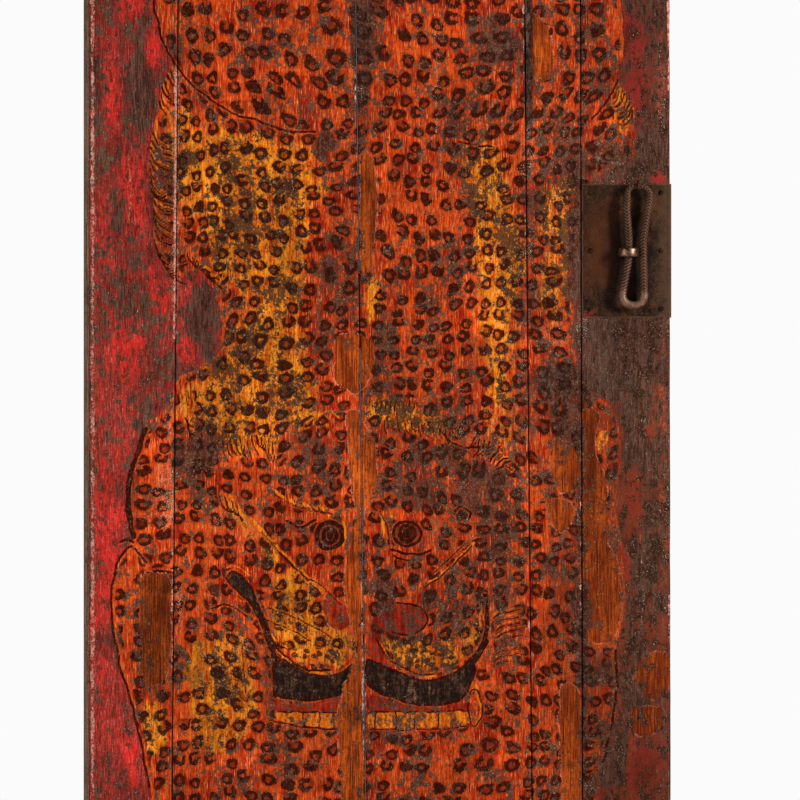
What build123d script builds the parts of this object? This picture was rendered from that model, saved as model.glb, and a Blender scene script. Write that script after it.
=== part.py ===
"""Painted plank door leaf of a Himalayan temple, hung on wooden pivots.

Five tapered boards stand side by side. Hidden dowels keep their edges in line and three
tapered dovetail battens, driven in from the closing edge, hold them flat from behind.
The first board carries both round pivots and is worked round at its hinge edge. An iron
plate folds over the closing edge, and a staple through it carries a swinging loop pull.

Millimetres. The origin is on the pivot axis, at the shoulder of the lower pivot. X runs
across the leaf to its closing edge, the painted front looks along -Y, and Z is up.
"""
from build123d import *
import math
import os

# The leaf and its boards, each wider or narrower at the top as the seams drift
LEAF_HEIGHT = 1650.0
LEAF_THICKNESS = 38.0
PIVOT_BOARD_BOTTOM = 80.7
PIVOT_BOARD_TOP = 93.0
BOARD_2_BOTTOM = 235.1
BOARD_2_TOP = 202.2
BOARD_3_BOTTOM = 197.4
BOARD_3_TOP = 202.4
BOARD_4_BOTTOM = 58.4
BOARD_4_TOP = 69.8
PULL_BOARD_BOTTOM = 104.4
PULL_BOARD_TOP = 106.6
SEAM_GAP = 0.4
WORN_ARRIS = 1.5

# The hinge edge is an arc about the pivot axis, so that it turns inside the frame
HINGE_EDGE_RADIUS = 24.0
PIVOT_RADIUS = 18.0
LOWER_PIVOT_LENGTH = 45.0
UPPER_PIVOT_LENGTH = 70.0
PIVOT_CHAMFER = 3.0

# Whittled, eight-sided dowels across each seam, staggered from one seam to the next
WHITTLED_SIDES = 8
DOWEL_RADIUS = 5.5
DOWEL_LENGTH = 50.0
DOWEL_END_GAP = 0.6
DOWEL_FIT = 0.1
DOWELS_PER_SEAM = 3
DOWEL_STAGGER = 40.0

# Battens, wider at the closing edge where they were driven in
BATTEN_WIDE_END = 92.0
BATTEN_NARROW_END = 78.0
BATTEN_TONGUE = 10.0
BATTEN_PROUD = 17.0
BATTEN_BEVEL = 5.0
BATTEN_HINGE_SIDE = 6.0
BATTEN_CLOSING_INSET = 0.5
BATTEN_END_MARGIN = 190.0
MIDDLE_BATTEN_BELOW_EYE = 146.6
DOVETAIL_ANGLE = 14.0
HOUSING_FIT = 0.15
PEG_RADIUS = 4.5
PEG_BITE = 14.0
PEG_INSET = 34.0
PEG_FIT = 0.1

# Iron plate under the pull, folded over the closing edge
PLATE_THICKNESS = 1.6
PLATE_FROM_SEAM = 0.4
PLATE_HEIGHT = 160.0
PLATE_BOTTOM = 815.6
PLATE_RETURN = 20.0
PLATE_CORNER = 3.0
PLATE_FOLD_INSIDE = 1.0
PLATE_FIT = 0.1

# Nails of the plate, three down each side
NAIL_HEAD_RADIUS = 3.4
NAIL_HEAD_TOP_RADIUS = 1.5
NAIL_HEAD_HEIGHT = 1.9
NAIL_HEAD_SIDES = 6
NAIL_SHANK_SIDE = 2.6
NAIL_TIP_SIDE = 0.9
NAIL_LENGTH = 13.0
NAIL_SIDE_MARGIN = 10.5
NAIL_END_MARGIN = 11.0
NAILS_PER_SIDE = 3
NAIL_FIT = 0.1

# Staple that carries the pull: a wire eye whose two legs are clenched behind the leaf
WIRE_RADIUS = 1.5
WIRE_SIDES = 6
EYE_FROM_CLOSING_EDGE = 38.4
EYE_BELOW_PLATE_TOP = 4.0
EYE_RUNNING_GAP = 0.3
EYE_NECK_FILLET = 3.0
LEG_GAP = 0.3
LEG_FIT = 0.3
CLENCH_RADIUS = 1.8
CLENCH_LENGTH = 13.0
CLENCH_GAP = 0.15
ROVE_SIDE = 26.0
ROVE_THICKNESS = 1.8

# Loop pull, seen from the front: places are across and down from the eye
STRAND_RADIUS = 4.45
STRAND_SIDES = 12
PULL_DROP = 141.5
TOP_LEFT = 12.0
TOP_RIGHT = 15.8
TOP_LEFT_BEND = 8.9
TOP_RIGHT_BEND = 10.7
SHOULDER_LEFT = 13.9
SHOULDER_DROP = 27.0
NECK_LEFT = 10.9
NECK_DROP = 66.0
WAIST_RIGHT = 5.6
WAIST_DROP = 64.3
FOOT_LEFT = 21.3
FOOT_RIGHT = 7.4
FOOT_BEND = 12.6
EASY_BEND = 30.0
COLLAR_LEFT = 11.4
COLLAR_DROP = 78.4
COLLAR_RADIUS = 12.5
COLLAR_HEIGHT = 10.7
COLLAR_BEVEL = 1.2
COLLAR_FIT = 0.4
COLLAR_PLATE_GAP = 0.3
COLLAR_LEAD = 2.5
STRAND_END_GAP = 1.0

FRONT = -LEAF_THICKNESS / 2
BACK = LEAF_THICKNESS / 2
PLATE_FRONT = FRONT - PLATE_THICKNESS
PLATE_TOP = PLATE_BOTTOM + PLATE_HEIGHT
EYE_Z = PLATE_TOP - EYE_BELOW_PLATE_TOP
PULL_Y = PLATE_FRONT - COLLAR_PLATE_GAP - COLLAR_RADIUS
EYE_RADIUS = STRAND_RADIUS + EYE_RUNNING_GAP + WIRE_RADIUS
LEG_OFFSET = WIRE_RADIUS + LEG_GAP / 2
LEG_HOLE_RADIUS = LEG_OFFSET + WIRE_RADIUS + LEG_FIT

BOARD_NAMES = ("pivot_board", "board_2", "board_3", "board_4", "pull_board")
WIDTHS_BOTTOM = (PIVOT_BOARD_BOTTOM, BOARD_2_BOTTOM, BOARD_3_BOTTOM, BOARD_4_BOTTOM, PULL_BOARD_BOTTOM)
WIDTHS_TOP = (PIVOT_BOARD_TOP, BOARD_2_TOP, BOARD_3_TOP, BOARD_4_TOP, PULL_BOARD_TOP)


def edge_x(index, z):
    """Distance from the pivot axis to the far edge of board number index, at height z."""
    low = sum(WIDTHS_BOTTOM[: index + 1])
    high = sum(WIDTHS_TOP[: index + 1])
    return low + (high - low) * z / LEAF_HEIGHT


def closing_x(z):
    """Distance from the pivot axis to the leaf's closing edge, at height z."""
    return edge_x(len(BOARD_NAMES) - 1, z)


EYE_X = closing_x(EYE_Z) - EYE_FROM_CLOSING_EDGE


def rod_along_y(radius, y_low, y_high, x, z):
    """Round bar, or the cutter of a round hole, through the thickness of the leaf."""
    bar = Cylinder(radius, y_high - y_low, rotation=(90, 0, 0))
    return Pos(x, (y_low + y_high) / 2, z) * bar


def plain_board(left_low, right_low, left_high, right_high):
    """Tapered board with worn long arrises, its edges given at the bottom and the top."""
    outline = Polygon(
        (left_low, 0), (right_low, 0), (right_high, LEAF_HEIGHT), (left_high, LEAF_HEIGHT), align=None
    )
    board = extrude(Plane.XZ * outline, amount=LEAF_THICKNESS / 2, both=True)
    long_edges = board.edges().filter_by(lambda edge: edge.length > LEAF_HEIGHT - LEAF_THICKNESS)
    return chamfer(long_edges, WORN_ARRIS)


def board_between(index):
    """Board number index, from the seam on its hinge side to the next one."""
    gap = SEAM_GAP / 2
    last = index == len(BOARD_NAMES) - 1
    right_gap = 0 if last else gap
    return plain_board(
        edge_x(index - 1, 0) + gap,
        edge_x(index, 0) - right_gap,
        edge_x(index - 1, LEAF_HEIGHT) + gap,
        edge_x(index, LEAF_HEIGHT) - right_gap,
    )


def pivot_pin(length):
    """Round pivot, standing on its shoulder, with its free end bevelled."""
    pin = extrude(Circle(PIVOT_RADIUS), length)
    return chamfer(pin.edges().sort_by(Axis.Z)[-1], PIVOT_CHAMFER)


def make_pivot_board():
    """Hinge-side board in one piece with both pivots and the round hinge edge."""
    gap = SEAM_GAP / 2
    flat_part = plain_board(
        -HINGE_EDGE_RADIUS - WORN_ARRIS * 2,
        edge_x(0, 0) - gap,
        -HINGE_EDGE_RADIUS - WORN_ARRIS * 2,
        edge_x(0, LEAF_HEIGHT) - gap,
    )
    reach = edge_x(0, 0) + edge_x(0, LEAF_HEIGHT)
    round_edge = extrude(Circle(HINGE_EDGE_RADIUS), LEAF_HEIGHT)
    kept = round_edge + Pos(reach / 2, 0, LEAF_HEIGHT / 2) * Box(reach, LEAF_THICKNESS, LEAF_HEIGHT)
    board = flat_part & kept
    board += Rot(180, 0, 0) * pivot_pin(LOWER_PIVOT_LENGTH)
    board += Pos(0, 0, LEAF_HEIGHT) * pivot_pin(UPPER_PIVOT_LENGTH)
    return board


def dowel_heights(seam):
    """Heights of the dowels in a seam; every second seam is staggered."""
    pitch = LEAF_HEIGHT / (DOWELS_PER_SEAM + 1)
    shift = DOWEL_STAGGER / 2 if seam % 2 else -DOWEL_STAGGER / 2
    return [pitch * (count + 1) + shift for count in range(DOWELS_PER_SEAM)]


def whittled_peg(radius, start, direction, length):
    """Eight-sided wooden peg, or its hole, from a start point along a direction."""
    place = Plane(origin=start, z_dir=direction)
    return extrude(place * RegularPolygon(radius, WHITTLED_SIDES, major_radius=False), length)


def dowels_at(seam, fit=0.0, end_gap=0.0):
    """Dowels of one seam as separate pegs, or the holes for them."""
    half = DOWEL_LENGTH / 2 + end_gap
    pegs = [
        whittled_peg(DOWEL_RADIUS + fit, (edge_x(seam, z) - half, 0, z), (1, 0, 0), 2 * half)
        for z in dowel_heights(seam)
    ]
    return Compound(children=pegs)


def batten_heights():
    """Heights of the battens' middles: near both ends, and below the staple's rove."""
    return [BATTEN_END_MARGIN, EYE_Z - MIDDLE_BATTEN_BELOW_EYE, LEAF_HEIGHT - BATTEN_END_MARGIN]


def batten_section(x, half_width, z, fit):
    """Cross-section of a batten: dovetail tongue in the leaf, bevelled body behind it."""
    tongue = BATTEN_TONGUE + fit
    spread = tongue * math.tan(math.radians(DOVETAIL_ANGLE))
    mouth = half_width + fit
    points = [
        (BACK - tongue, -mouth - spread),
        (BACK, -mouth),
        (BACK + BATTEN_PROUD - BATTEN_BEVEL, -mouth),
        (BACK + BATTEN_PROUD, -mouth + BATTEN_BEVEL),
        (BACK + BATTEN_PROUD, mouth - BATTEN_BEVEL),
        (BACK + BATTEN_PROUD - BATTEN_BEVEL, mouth),
        (BACK, mouth),
        (BACK - tongue, mouth + spread),
    ]
    place = Plane(origin=(x, 0, z), x_dir=(0, 1, 0), z_dir=(1, 0, 0))
    return place * Polygon(*points, align=None)


def batten_form(z, fit=0.0, run_out=0.0):
    """Tapered batten at height z, or with a fit and a run-out the cutter of its housing."""
    start = BATTEN_HINGE_SIDE - fit
    end = closing_x(z) - BATTEN_CLOSING_INSET
    slope = (BATTEN_WIDE_END - BATTEN_NARROW_END) / 2 / (end - BATTEN_HINGE_SIDE)
    far = end + run_out
    sections = [
        batten_section(x, BATTEN_NARROW_END / 2 + slope * (x - BATTEN_HINGE_SIDE), z, fit)
        for x in (start, far)
    ]
    return loft(sections, ruled=True)


def peg_form(z, fit=0.0):
    """Peg that locks a batten to the last board, or the hole for it."""
    start = BACK - PEG_BITE - fit
    length = BACK + BATTEN_PROUD - start
    return whittled_peg(PEG_RADIUS + fit, (closing_x(z) - PEG_INSET, start, z), (0, 1, 0), length)


def plate_left():
    """Left edge of the plate, just clear of the last seam all the way down."""
    last_seam = len(BOARD_NAMES) - 2
    return max(edge_x(last_seam, PLATE_BOTTOM), edge_x(last_seam, PLATE_TOP)) + PLATE_FROM_SEAM


def nail_places():
    """Places of the plate's nails, as pairs of X and Z."""
    left = plate_left() + NAIL_SIDE_MARGIN
    right = closing_x(EYE_Z) - NAIL_SIDE_MARGIN
    step = (PLATE_HEIGHT - 2 * NAIL_END_MARGIN) / (NAILS_PER_SIDE - 1)
    heights = [PLATE_BOTTOM + NAIL_END_MARGIN + step * count for count in range(NAILS_PER_SIDE)]
    return [(x, z) for x in (left, right) for z in heights]


def tapered_shank(x, z, start, fit):
    """Square tapered shank of a nail from depth start to its tip, or its hole."""
    tip = PLATE_FRONT + NAIL_LENGTH + fit
    ends = [(start, NAIL_SHANK_SIDE + 2 * fit), (tip, NAIL_TIP_SIDE + 2 * fit)]
    sections = [Plane(origin=(x, y, z), z_dir=(0, 1, 0)) * Rectangle(side, side) for y, side in ends]
    return loft(sections, ruled=True)


def nail_form(x, z):
    """Forged nail with a low faceted head on the plate and a square shank."""
    ends = [(PLATE_FRONT, NAIL_HEAD_RADIUS), (PLATE_FRONT - NAIL_HEAD_HEIGHT, NAIL_HEAD_TOP_RADIUS)]
    sections = [
        Plane(origin=(x, y, z), z_dir=(0, 1, 0)) * RegularPolygon(radius, NAIL_HEAD_SIDES)
        for y, radius in ends
    ]
    return loft(sections, ruled=True) + tapered_shank(x, z, PLATE_FRONT, 0)


def nail_hole(x, z):
    """Hole that a nail's shank sits in, open at the plate's front."""
    return tapered_shank(x, z, PLATE_FRONT - NAIL_FIT, NAIL_FIT)


def make_plate():
    """Sheet-iron plate on the front, folded back over the closing edge."""
    middle = PLATE_BOTTOM + PLATE_HEIGHT / 2
    inner = max(closing_x(PLATE_BOTTOM), closing_x(PLATE_TOP)) + PLATE_FIT
    outer = inner + PLATE_THICKNESS
    left = plate_left()
    return_end = FRONT + PLATE_RETURN
    outline = Polyline(
        (left, PLATE_FRONT),
        (outer, PLATE_FRONT),
        (outer, return_end),
        (inner, return_end),
        (inner, FRONT),
        (left, FRONT),
        close=True,
    )
    sheet = extrude(Plane.XY.offset(PLATE_BOTTOM) * make_face(outline), PLATE_HEIGHT)
    upright = sheet.edges().filter_by(Axis.Z)
    fold_inside = upright.sort_by_distance((inner, FRONT, middle))[0]
    sheet = fillet(fold_inside, PLATE_FOLD_INSIDE)
    upright = sheet.edges().filter_by(Axis.Z)
    fold_outside = upright.sort_by_distance((outer, PLATE_FRONT, middle))[0]
    sheet = fillet(fold_outside, PLATE_FOLD_INSIDE + PLATE_THICKNESS)
    corners = sheet.edges().filter_by(Axis.Y).group_by(Axis.X)[0]
    sheet = fillet(corners, PLATE_CORNER)
    for x, z in nail_places():
        sheet -= nail_hole(x, z)
    return sheet - leg_hole()


def leg_hole():
    """Hole for both legs of the staple, through plate, board and rove."""
    margin = LEAF_THICKNESS
    return rod_along_y(LEG_HOLE_RADIUS, PLATE_FRONT - margin, BACK + margin, EYE_X, EYE_Z)


def make_rove():
    """Square iron rove behind the leaf, under the clenched legs."""
    middle = BACK + ROVE_THICKNESS / 2
    rove = Pos(EYE_X, middle, EYE_Z) * Box(ROVE_SIDE, ROVE_THICKNESS, ROVE_SIDE)
    rove = chamfer(rove.edges().filter_by(Axis.Y), PLATE_CORNER)
    return rove - leg_hole()


def bar_along(path, radius, sides):
    """Hammered bar of many flats, bent along a path of straight runs and arcs."""
    section = Plane(origin=path @ 0, z_dir=path % 0) * RegularPolygon(radius, sides, major_radius=False)
    return sweep(section, path=path)


def on_arc(centre, radius, angle):
    """Point of a circle in the staple's plane, its angle in degrees."""
    turn = math.radians(angle)
    return (centre[0] + radius * math.cos(turn), centre[1] + radius * math.sin(turn))


def make_staple():
    """Wire bent to a round eye; the legs pass the leaf and are clenched up and down."""
    reach = EYE_RADIUS + EYE_NECK_FILLET
    rise = LEG_OFFSET + EYE_NECK_FILLET
    neck = math.sqrt(reach**2 - rise**2)
    lean = math.degrees(math.atan2(rise, neck))
    back = BACK + ROVE_THICKNESS + WIRE_RADIUS + CLENCH_GAP - PULL_Y
    eye_end = on_arc((0, 0), EYE_RADIUS, lean)
    eye_start = on_arc((0, 0), EYE_RADIUS, -lean)
    eye = ThreePointArc(eye_end, (-EYE_RADIUS, 0), eye_start)
    runs = [eye]
    for side in (1, -1):
        fillet_middle = (neck, side * rise)
        halfway = side * (180 + lean + 270) / 2
        start = eye_end if side == 1 else eye_start
        root = (neck, side * LEG_OFFSET)
        bend_middle = (back - CLENCH_RADIUS, side * (LEG_OFFSET + CLENCH_RADIUS))
        bend_start = (back - CLENCH_RADIUS, side * LEG_OFFSET)
        bend_end = (back, side * (LEG_OFFSET + CLENCH_RADIUS))
        tip = (back, side * (LEG_OFFSET + CLENCH_LENGTH))
        runs += [
            ThreePointArc(start, on_arc(fillet_middle, EYE_NECK_FILLET, halfway), root),
            Line(root, bend_start),
            ThreePointArc(bend_start, on_arc(bend_middle, CLENCH_RADIUS, side * -45), bend_end),
            Line(bend_end, tip),
        ]
    place = Plane(origin=(EYE_X, PULL_Y, EYE_Z), x_dir=(0, 1, 0), z_dir=(1, 0, 0))
    path = place * Wire(runs)
    return bar_along(path, WIRE_RADIUS, WIRE_SIDES)


def pull_path():
    """Centre line of the loop, from its lower end in the collar round to its upper end."""
    half_gap = STRAND_END_GAP / 2
    lead = COLLAR_HEIGHT / 2 + COLLAR_LEAD
    corners = [
        (-COLLAR_LEFT, -COLLAR_DROP - half_gap),
        (-COLLAR_LEFT, -COLLAR_DROP - lead),
        (-FOOT_LEFT, -PULL_DROP),
        (FOOT_RIGHT, -PULL_DROP),
        (WAIST_RIGHT, -WAIST_DROP),
        (TOP_RIGHT, 0),
        (-TOP_LEFT, 0),
        (-SHOULDER_LEFT, -SHOULDER_DROP),
        (-NECK_LEFT, -NECK_DROP),
        (-COLLAR_LEFT, -COLLAR_DROP + half_gap),
    ]
    bends = [
        FOOT_BEND,
        FOOT_BEND,
        FOOT_BEND,
        EASY_BEND,
        TOP_RIGHT_BEND,
        TOP_LEFT_BEND,
        EASY_BEND,
        EASY_BEND,
    ]
    place = Plane(origin=(EYE_X, PULL_Y, EYE_Z), x_dir=(1, 0, 0), z_dir=(0, -1, 0))
    return place * FilletPolyline(*corners, radius=bends)


def make_pull_loop():
    """Iron bar bent to a narrow-waisted loop, its two ends meeting inside the collar."""
    return bar_along(pull_path(), STRAND_RADIUS, STRAND_SIDES)


def make_collar():
    """Heavy round collar over the loop's ends."""
    ring = Cylinder(COLLAR_RADIUS, COLLAR_HEIGHT)
    ring = chamfer(ring.edges().filter_by(GeomType.CIRCLE), COLLAR_BEVEL)
    ring -= Cylinder(STRAND_RADIUS + COLLAR_FIT, COLLAR_HEIGHT * 2)
    return Pos(EYE_X - COLLAR_LEFT, PULL_Y, EYE_Z - COLLAR_DROP) * ring


def make_boards():
    """The five boards, with every hole and housing that other pieces sit in."""
    boards = [make_pivot_board()] + [board_between(index) for index in range(1, len(BOARD_NAMES))]
    for seam in range(len(boards) - 1):
        holes = dowels_at(seam, DOWEL_FIT, DOWEL_END_GAP)
        boards[seam] -= holes
        boards[seam + 1] -= holes
    for z in batten_heights():
        housing = batten_form(z, HOUSING_FIT, run_out=LEAF_THICKNESS)
        boards = [board - housing for board in boards]
        boards[-1] -= peg_form(z, PEG_FIT)
    for x, z in nail_places():
        boards[-1] -= nail_hole(x, z)
    boards[-1] -= leg_hole()
    return dict(zip(BOARD_NAMES, boards))


def make_parts():
    """Every piece of the leaf by its name."""
    parts = make_boards()
    for seam in range(len(BOARD_NAMES) - 1):
        parts[f"dowels_seam_{seam + 1}"] = dowels_at(seam)
    for name, z in zip(("lower", "middle", "upper"), batten_heights()):
        parts[f"batten_{name}"] = batten_form(z) - peg_form(z, PEG_FIT)
    parts["batten_pegs"] = Compound(children=[peg_form(z) for z in batten_heights()])
    parts["pull_plate"] = make_plate()
    parts["plate_nails"] = Compound(children=[nail_form(x, z) for x, z in nail_places()])
    parts["staple_rove"] = make_rove()
    parts["pull_staple"] = make_staple()
    parts["pull_loop"] = make_pull_loop()
    parts["pull_collar"] = make_collar()
    return parts


os.makedirs("parts", exist_ok=True)
for name, shape in make_parts().items():
    export_step(shape, f"parts/{name}.step")
    print(name, len(shape.solids()), "solid(s)", round(shape.volume / 1000, 1), "cm3")
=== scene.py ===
"""Painted temple door leaf: boards with their worn painting, ironwork, light and camera.

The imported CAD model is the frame, in metres. Places and sizes here are in millimetres, in the
same frame, and are turned into metres when a mesh is made. X runs across the leaf from the
pivot axis to the closing edge, the painted front looks along -Y, and Z is up.
"""
import functools
import math
import operator
from types import SimpleNamespace

import bmesh
import bpy
import numpy as np
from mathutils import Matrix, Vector


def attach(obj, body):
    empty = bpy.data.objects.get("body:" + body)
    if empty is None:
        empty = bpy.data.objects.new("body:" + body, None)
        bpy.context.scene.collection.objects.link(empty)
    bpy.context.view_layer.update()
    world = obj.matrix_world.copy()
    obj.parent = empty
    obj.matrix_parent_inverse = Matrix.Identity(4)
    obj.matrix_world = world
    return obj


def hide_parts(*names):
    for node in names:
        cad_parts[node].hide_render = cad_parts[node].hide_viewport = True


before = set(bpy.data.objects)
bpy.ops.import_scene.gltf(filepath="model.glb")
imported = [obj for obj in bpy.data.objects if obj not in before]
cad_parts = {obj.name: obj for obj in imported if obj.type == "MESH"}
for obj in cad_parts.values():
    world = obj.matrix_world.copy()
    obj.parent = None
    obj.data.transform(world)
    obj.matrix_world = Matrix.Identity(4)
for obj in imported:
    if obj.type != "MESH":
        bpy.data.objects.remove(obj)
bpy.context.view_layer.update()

MM = 0.001

# The leaf, as the solids have it
LEAF_HEIGHT = 1650.0
FRONT = -19.0
SLAB_BACK = -13.8
ARRIS = 1.5
HINGE_EDGE_RADIUS = 24.0
PLATE_BOTTOM = 815.6
PLATE_TOP = 975.6
PLATE_LEFT = 569.9
PLATE_FRONT = -20.6
EYE_X = 636.42
EYE_Z = 971.6
PULL_Y = -33.4
STRAND_RADIUS = 4.85
COLLAR_LEFT = 11.4
COLLAR_DROP = 78.4
COLLAR_RADIUS = 12.5
COLLAR_HEIGHT = 10.7
COLLAR_BORE = 4.85

# The part of the leaf that the photograph shows, and the size of a painted detail there
SEEN_BOTTOM = 236.0
SEEN_TOP = 1200.0
FINE = {"board_2": 1.8, "board_3": 1.8, "pivot_board": 1.5, "board_4": 1.5, "pull_board": 1.5}
FINE_ROW = 1.8
COARSE_ROW = 4.5
ROSETTE_PITCH = 21.5

# How far from a brush line its distance still counts
BRUSH_REACH = 6.0

# How much old varnish deepens every colour of the painting
VARNISH_DEPTH = 1.12


def tint(red, green, blue):
    """A paint colour named as screen values, 0 to 255, as the linear colour that a shader uses."""
    def linear(value):
        share = value / 255
        return share / 12.92 if share <= 0.04045 else ((share + 0.055) / 1.055) ** 2.4
    return (linear(red), linear(green), linear(blue), 1.0)


def scatter(column, row, seed):
    """Fixed pseudo-random number from 0 to 1 for each square of a lattice."""
    mixed = (column * 73856093 ^ row * 19349663 ^ seed * 83492791) & 0x7FFFFFFF
    mixed = ((mixed ^ (mixed >> 13)) * 1274126177) & 0x7FFFFFFF
    mixed ^= mixed >> 16
    return (mixed & 0xFFFFFF) / 0xFFFFFF


def drift(x, z, wide, tall, seed):
    """Smooth noise from -1 to 1, in patches of wide by tall millimetres."""
    u, v = np.asarray(x) / wide, np.asarray(z) / tall
    column, row = np.floor(u).astype(np.int64), np.floor(v).astype(np.int64)
    part_u, part_v = u - column, v - row
    part_u, part_v = part_u**2 * (3 - 2 * part_u), part_v**2 * (3 - 2 * part_v)
    low = scatter(column, row, seed) * (1 - part_u) + scatter(column + 1, row, seed) * part_u
    high = scatter(column, row + 1, seed) * (1 - part_u) + scatter(column + 1, row + 1, seed) * part_u
    return 2 * (low * (1 - part_v) + high * part_v) - 1


def rough_drift(x, z, wide, tall, seed, layers=3):
    """Noise with finer and fainter layers on it, from about -1 to 1."""
    total, size, sum_of_sizes = 0.0, 1.0, 0.0
    for layer in range(layers):
        total = total + size * drift(x, z, wide / 2**layer, tall / 2**layer, seed + 17 * layer)
        sum_of_sizes += size
        size *= 0.55
    return total / sum_of_sizes * 1.35


def soft_step(value, low, high):
    """0 below low, 1 above high, and eased between them."""
    share = np.clip((value - low) / (high - low), 0, 1)
    return share * share * (3 - 2 * share)


def flowing(points, closed=False, pieces=5):
    """A line drawn in one easy sweep through its points."""
    given = np.array(points, float)
    if closed:
        guides = np.vstack([given[-1], given, given[0], given[1]])
    else:
        guides = np.vstack([2 * given[0] - given[1], given, 2 * given[-1] - given[-2]])
    share = np.linspace(0, 1, pieces, endpoint=False)[:, None]
    line = []
    for a, b, c, d in zip(guides, guides[1:], guides[2:], guides[3:]):
        line.append(
            0.5 * (2 * b + (c - a) * share + (2 * a - 5 * b + 4 * c - d) * share**2
                   + (3 * b - a - 3 * c + d) * share**3)
        )
    return np.vstack(line + [guides[-2][None]])


def distance_to(line, x, z, most):
    """Distance from each place to a drawn line, and no more than most."""
    found = np.full(x.shape, float(most))
    low, high = line.min(0) - most, line.max(0) + most
    near = np.flatnonzero((x > low[0]) & (x < high[0]) & (z > low[1]) & (z < high[1]))
    if not near.size:
        return found
    near_x, near_z = x[near], z[near]
    best = np.full(near.shape, float(most))
    for (start_x, start_z), (end_x, end_z) in zip(line[:-1], line[1:]):
        run_x, run_z = end_x - start_x, end_z - start_z
        square = max(run_x**2 + run_z**2, 1e-9)
        along = np.clip(((near_x - start_x) * run_x + (near_z - start_z) * run_z) / square, 0, 1)
        gap_x, gap_z = near_x - start_x - along * run_x, near_z - start_z - along * run_z
        best = np.minimum(best, np.hypot(gap_x, gap_z))
    found[near] = best
    return found


def depth_in(points, x, z, most):
    """Distance from each place to the edge of a round-cornered shape: above 0 inside it."""
    line = flowing(points, closed=True)
    odd = np.zeros(x.shape, bool)
    for (start_x, start_z), (end_x, end_z) in zip(line[:-1], line[1:]):
        if start_z == end_z:
            continue
        crosses = (start_z > z) != (end_z > z)
        odd ^= crosses & (x < (end_x - start_x) * (z - start_z) / (end_z - start_z) + start_x)
    away = distance_to(line, x, z, most)
    return np.where(odd, away, -away)


def ring(centre, across, tall, turns=14):
    """Points of an oval."""
    angles = np.linspace(0, 2 * math.pi, turns, endpoint=False)
    return [(centre[0] + across * math.cos(a), centre[1] + tall * math.sin(a)) for a in angles]


def blob(x, z, centre_x, centre_z, across, tall):
    """A soft round patch: 1 in its middle, and 0 from its rim outwards."""
    return np.clip(1 - ((x - centre_x) / across) ** 2 - ((z - centre_z) / tall) ** 2, 0, 1)


def patches(x, z, rows, wider=1.0):
    """Soft round patches added up, each times its strength."""
    total = np.zeros(x.shape)
    for middle_x, middle_z, across, tall, strength in rows:
        total = total + strength * blob(x, z, middle_x, middle_z, across * wider, tall * wider)
    return total


def strongest_patch(x, z, rows, fullness):
    """At each place the strongest of the patches, whose middles are filled out to an even strength."""
    most = np.zeros(x.shape)
    for middle_x, middle_z, across, tall, strength in rows:
        filled = np.clip(fullness * blob(x, z, middle_x, middle_z, across, tall), 0, 1)
        most = np.maximum(most, strength * filled)
    return most


def brush_marks(x, z, lines=(), fills=()):
    """Distance to the nearest edge of what a brush drew: below 0 inside it, and from -6 to 6 mm."""
    found = np.full(x.shape, BRUSH_REACH)
    for half, line in lines:
        found = np.minimum(found, distance_to(line, x, z, BRUSH_REACH + 2) - half)
    for outline in fills:
        found = np.minimum(found, -depth_in(outline, x, z, BRUSH_REACH + 2))
    return np.clip(found, -BRUSH_REACH, BRUSH_REACH)


# The pelt, hung head down on a red ground
PELT = [
    (61, 1194), (65, 1168), (74, 1140), (82, 1118), (74, 1088), (63, 1050), (58, 1024), (56, 1000),
    (56, 980), (59, 956), (62, 936), (60, 912), (66, 894), (74, 872), (90, 862), (112, 872), (132, 848),
    (140, 815), (138, 775), (112, 756), (90, 744), (82, 716), (66, 700), (51, 692), (44, 658), (35, 638),
    (31, 611), (31, 585), (36, 556), (30, 543), (20, 531), (13, 507), (10, 480), (12, 456), (16, 426),
    (22, 397), (29, 377), (37, 347), (44, 317), (50, 284), (55, 257), (64, 190), (110, 120), (200, 84),
    (330, 76), (460, 84), (540, 120), (580, 190), (592, 272), (604, 325), (612, 376), (610, 420),
    (620, 460), (622, 500), (618, 545), (612, 600), (618, 650), (612, 700), (586, 726), (566, 760),
    (560, 800), (562, 860), (568, 920), (590, 984), (630, 1004), (633, 1040), (629, 1070), (616, 1092),
    (620, 1130), (618, 1180), (606, 1300), (575, 1420), (520, 1520), (420, 1575), (330, 1590),
    (240, 1575), (150, 1520), (95, 1420), (68, 1300),
]

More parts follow.
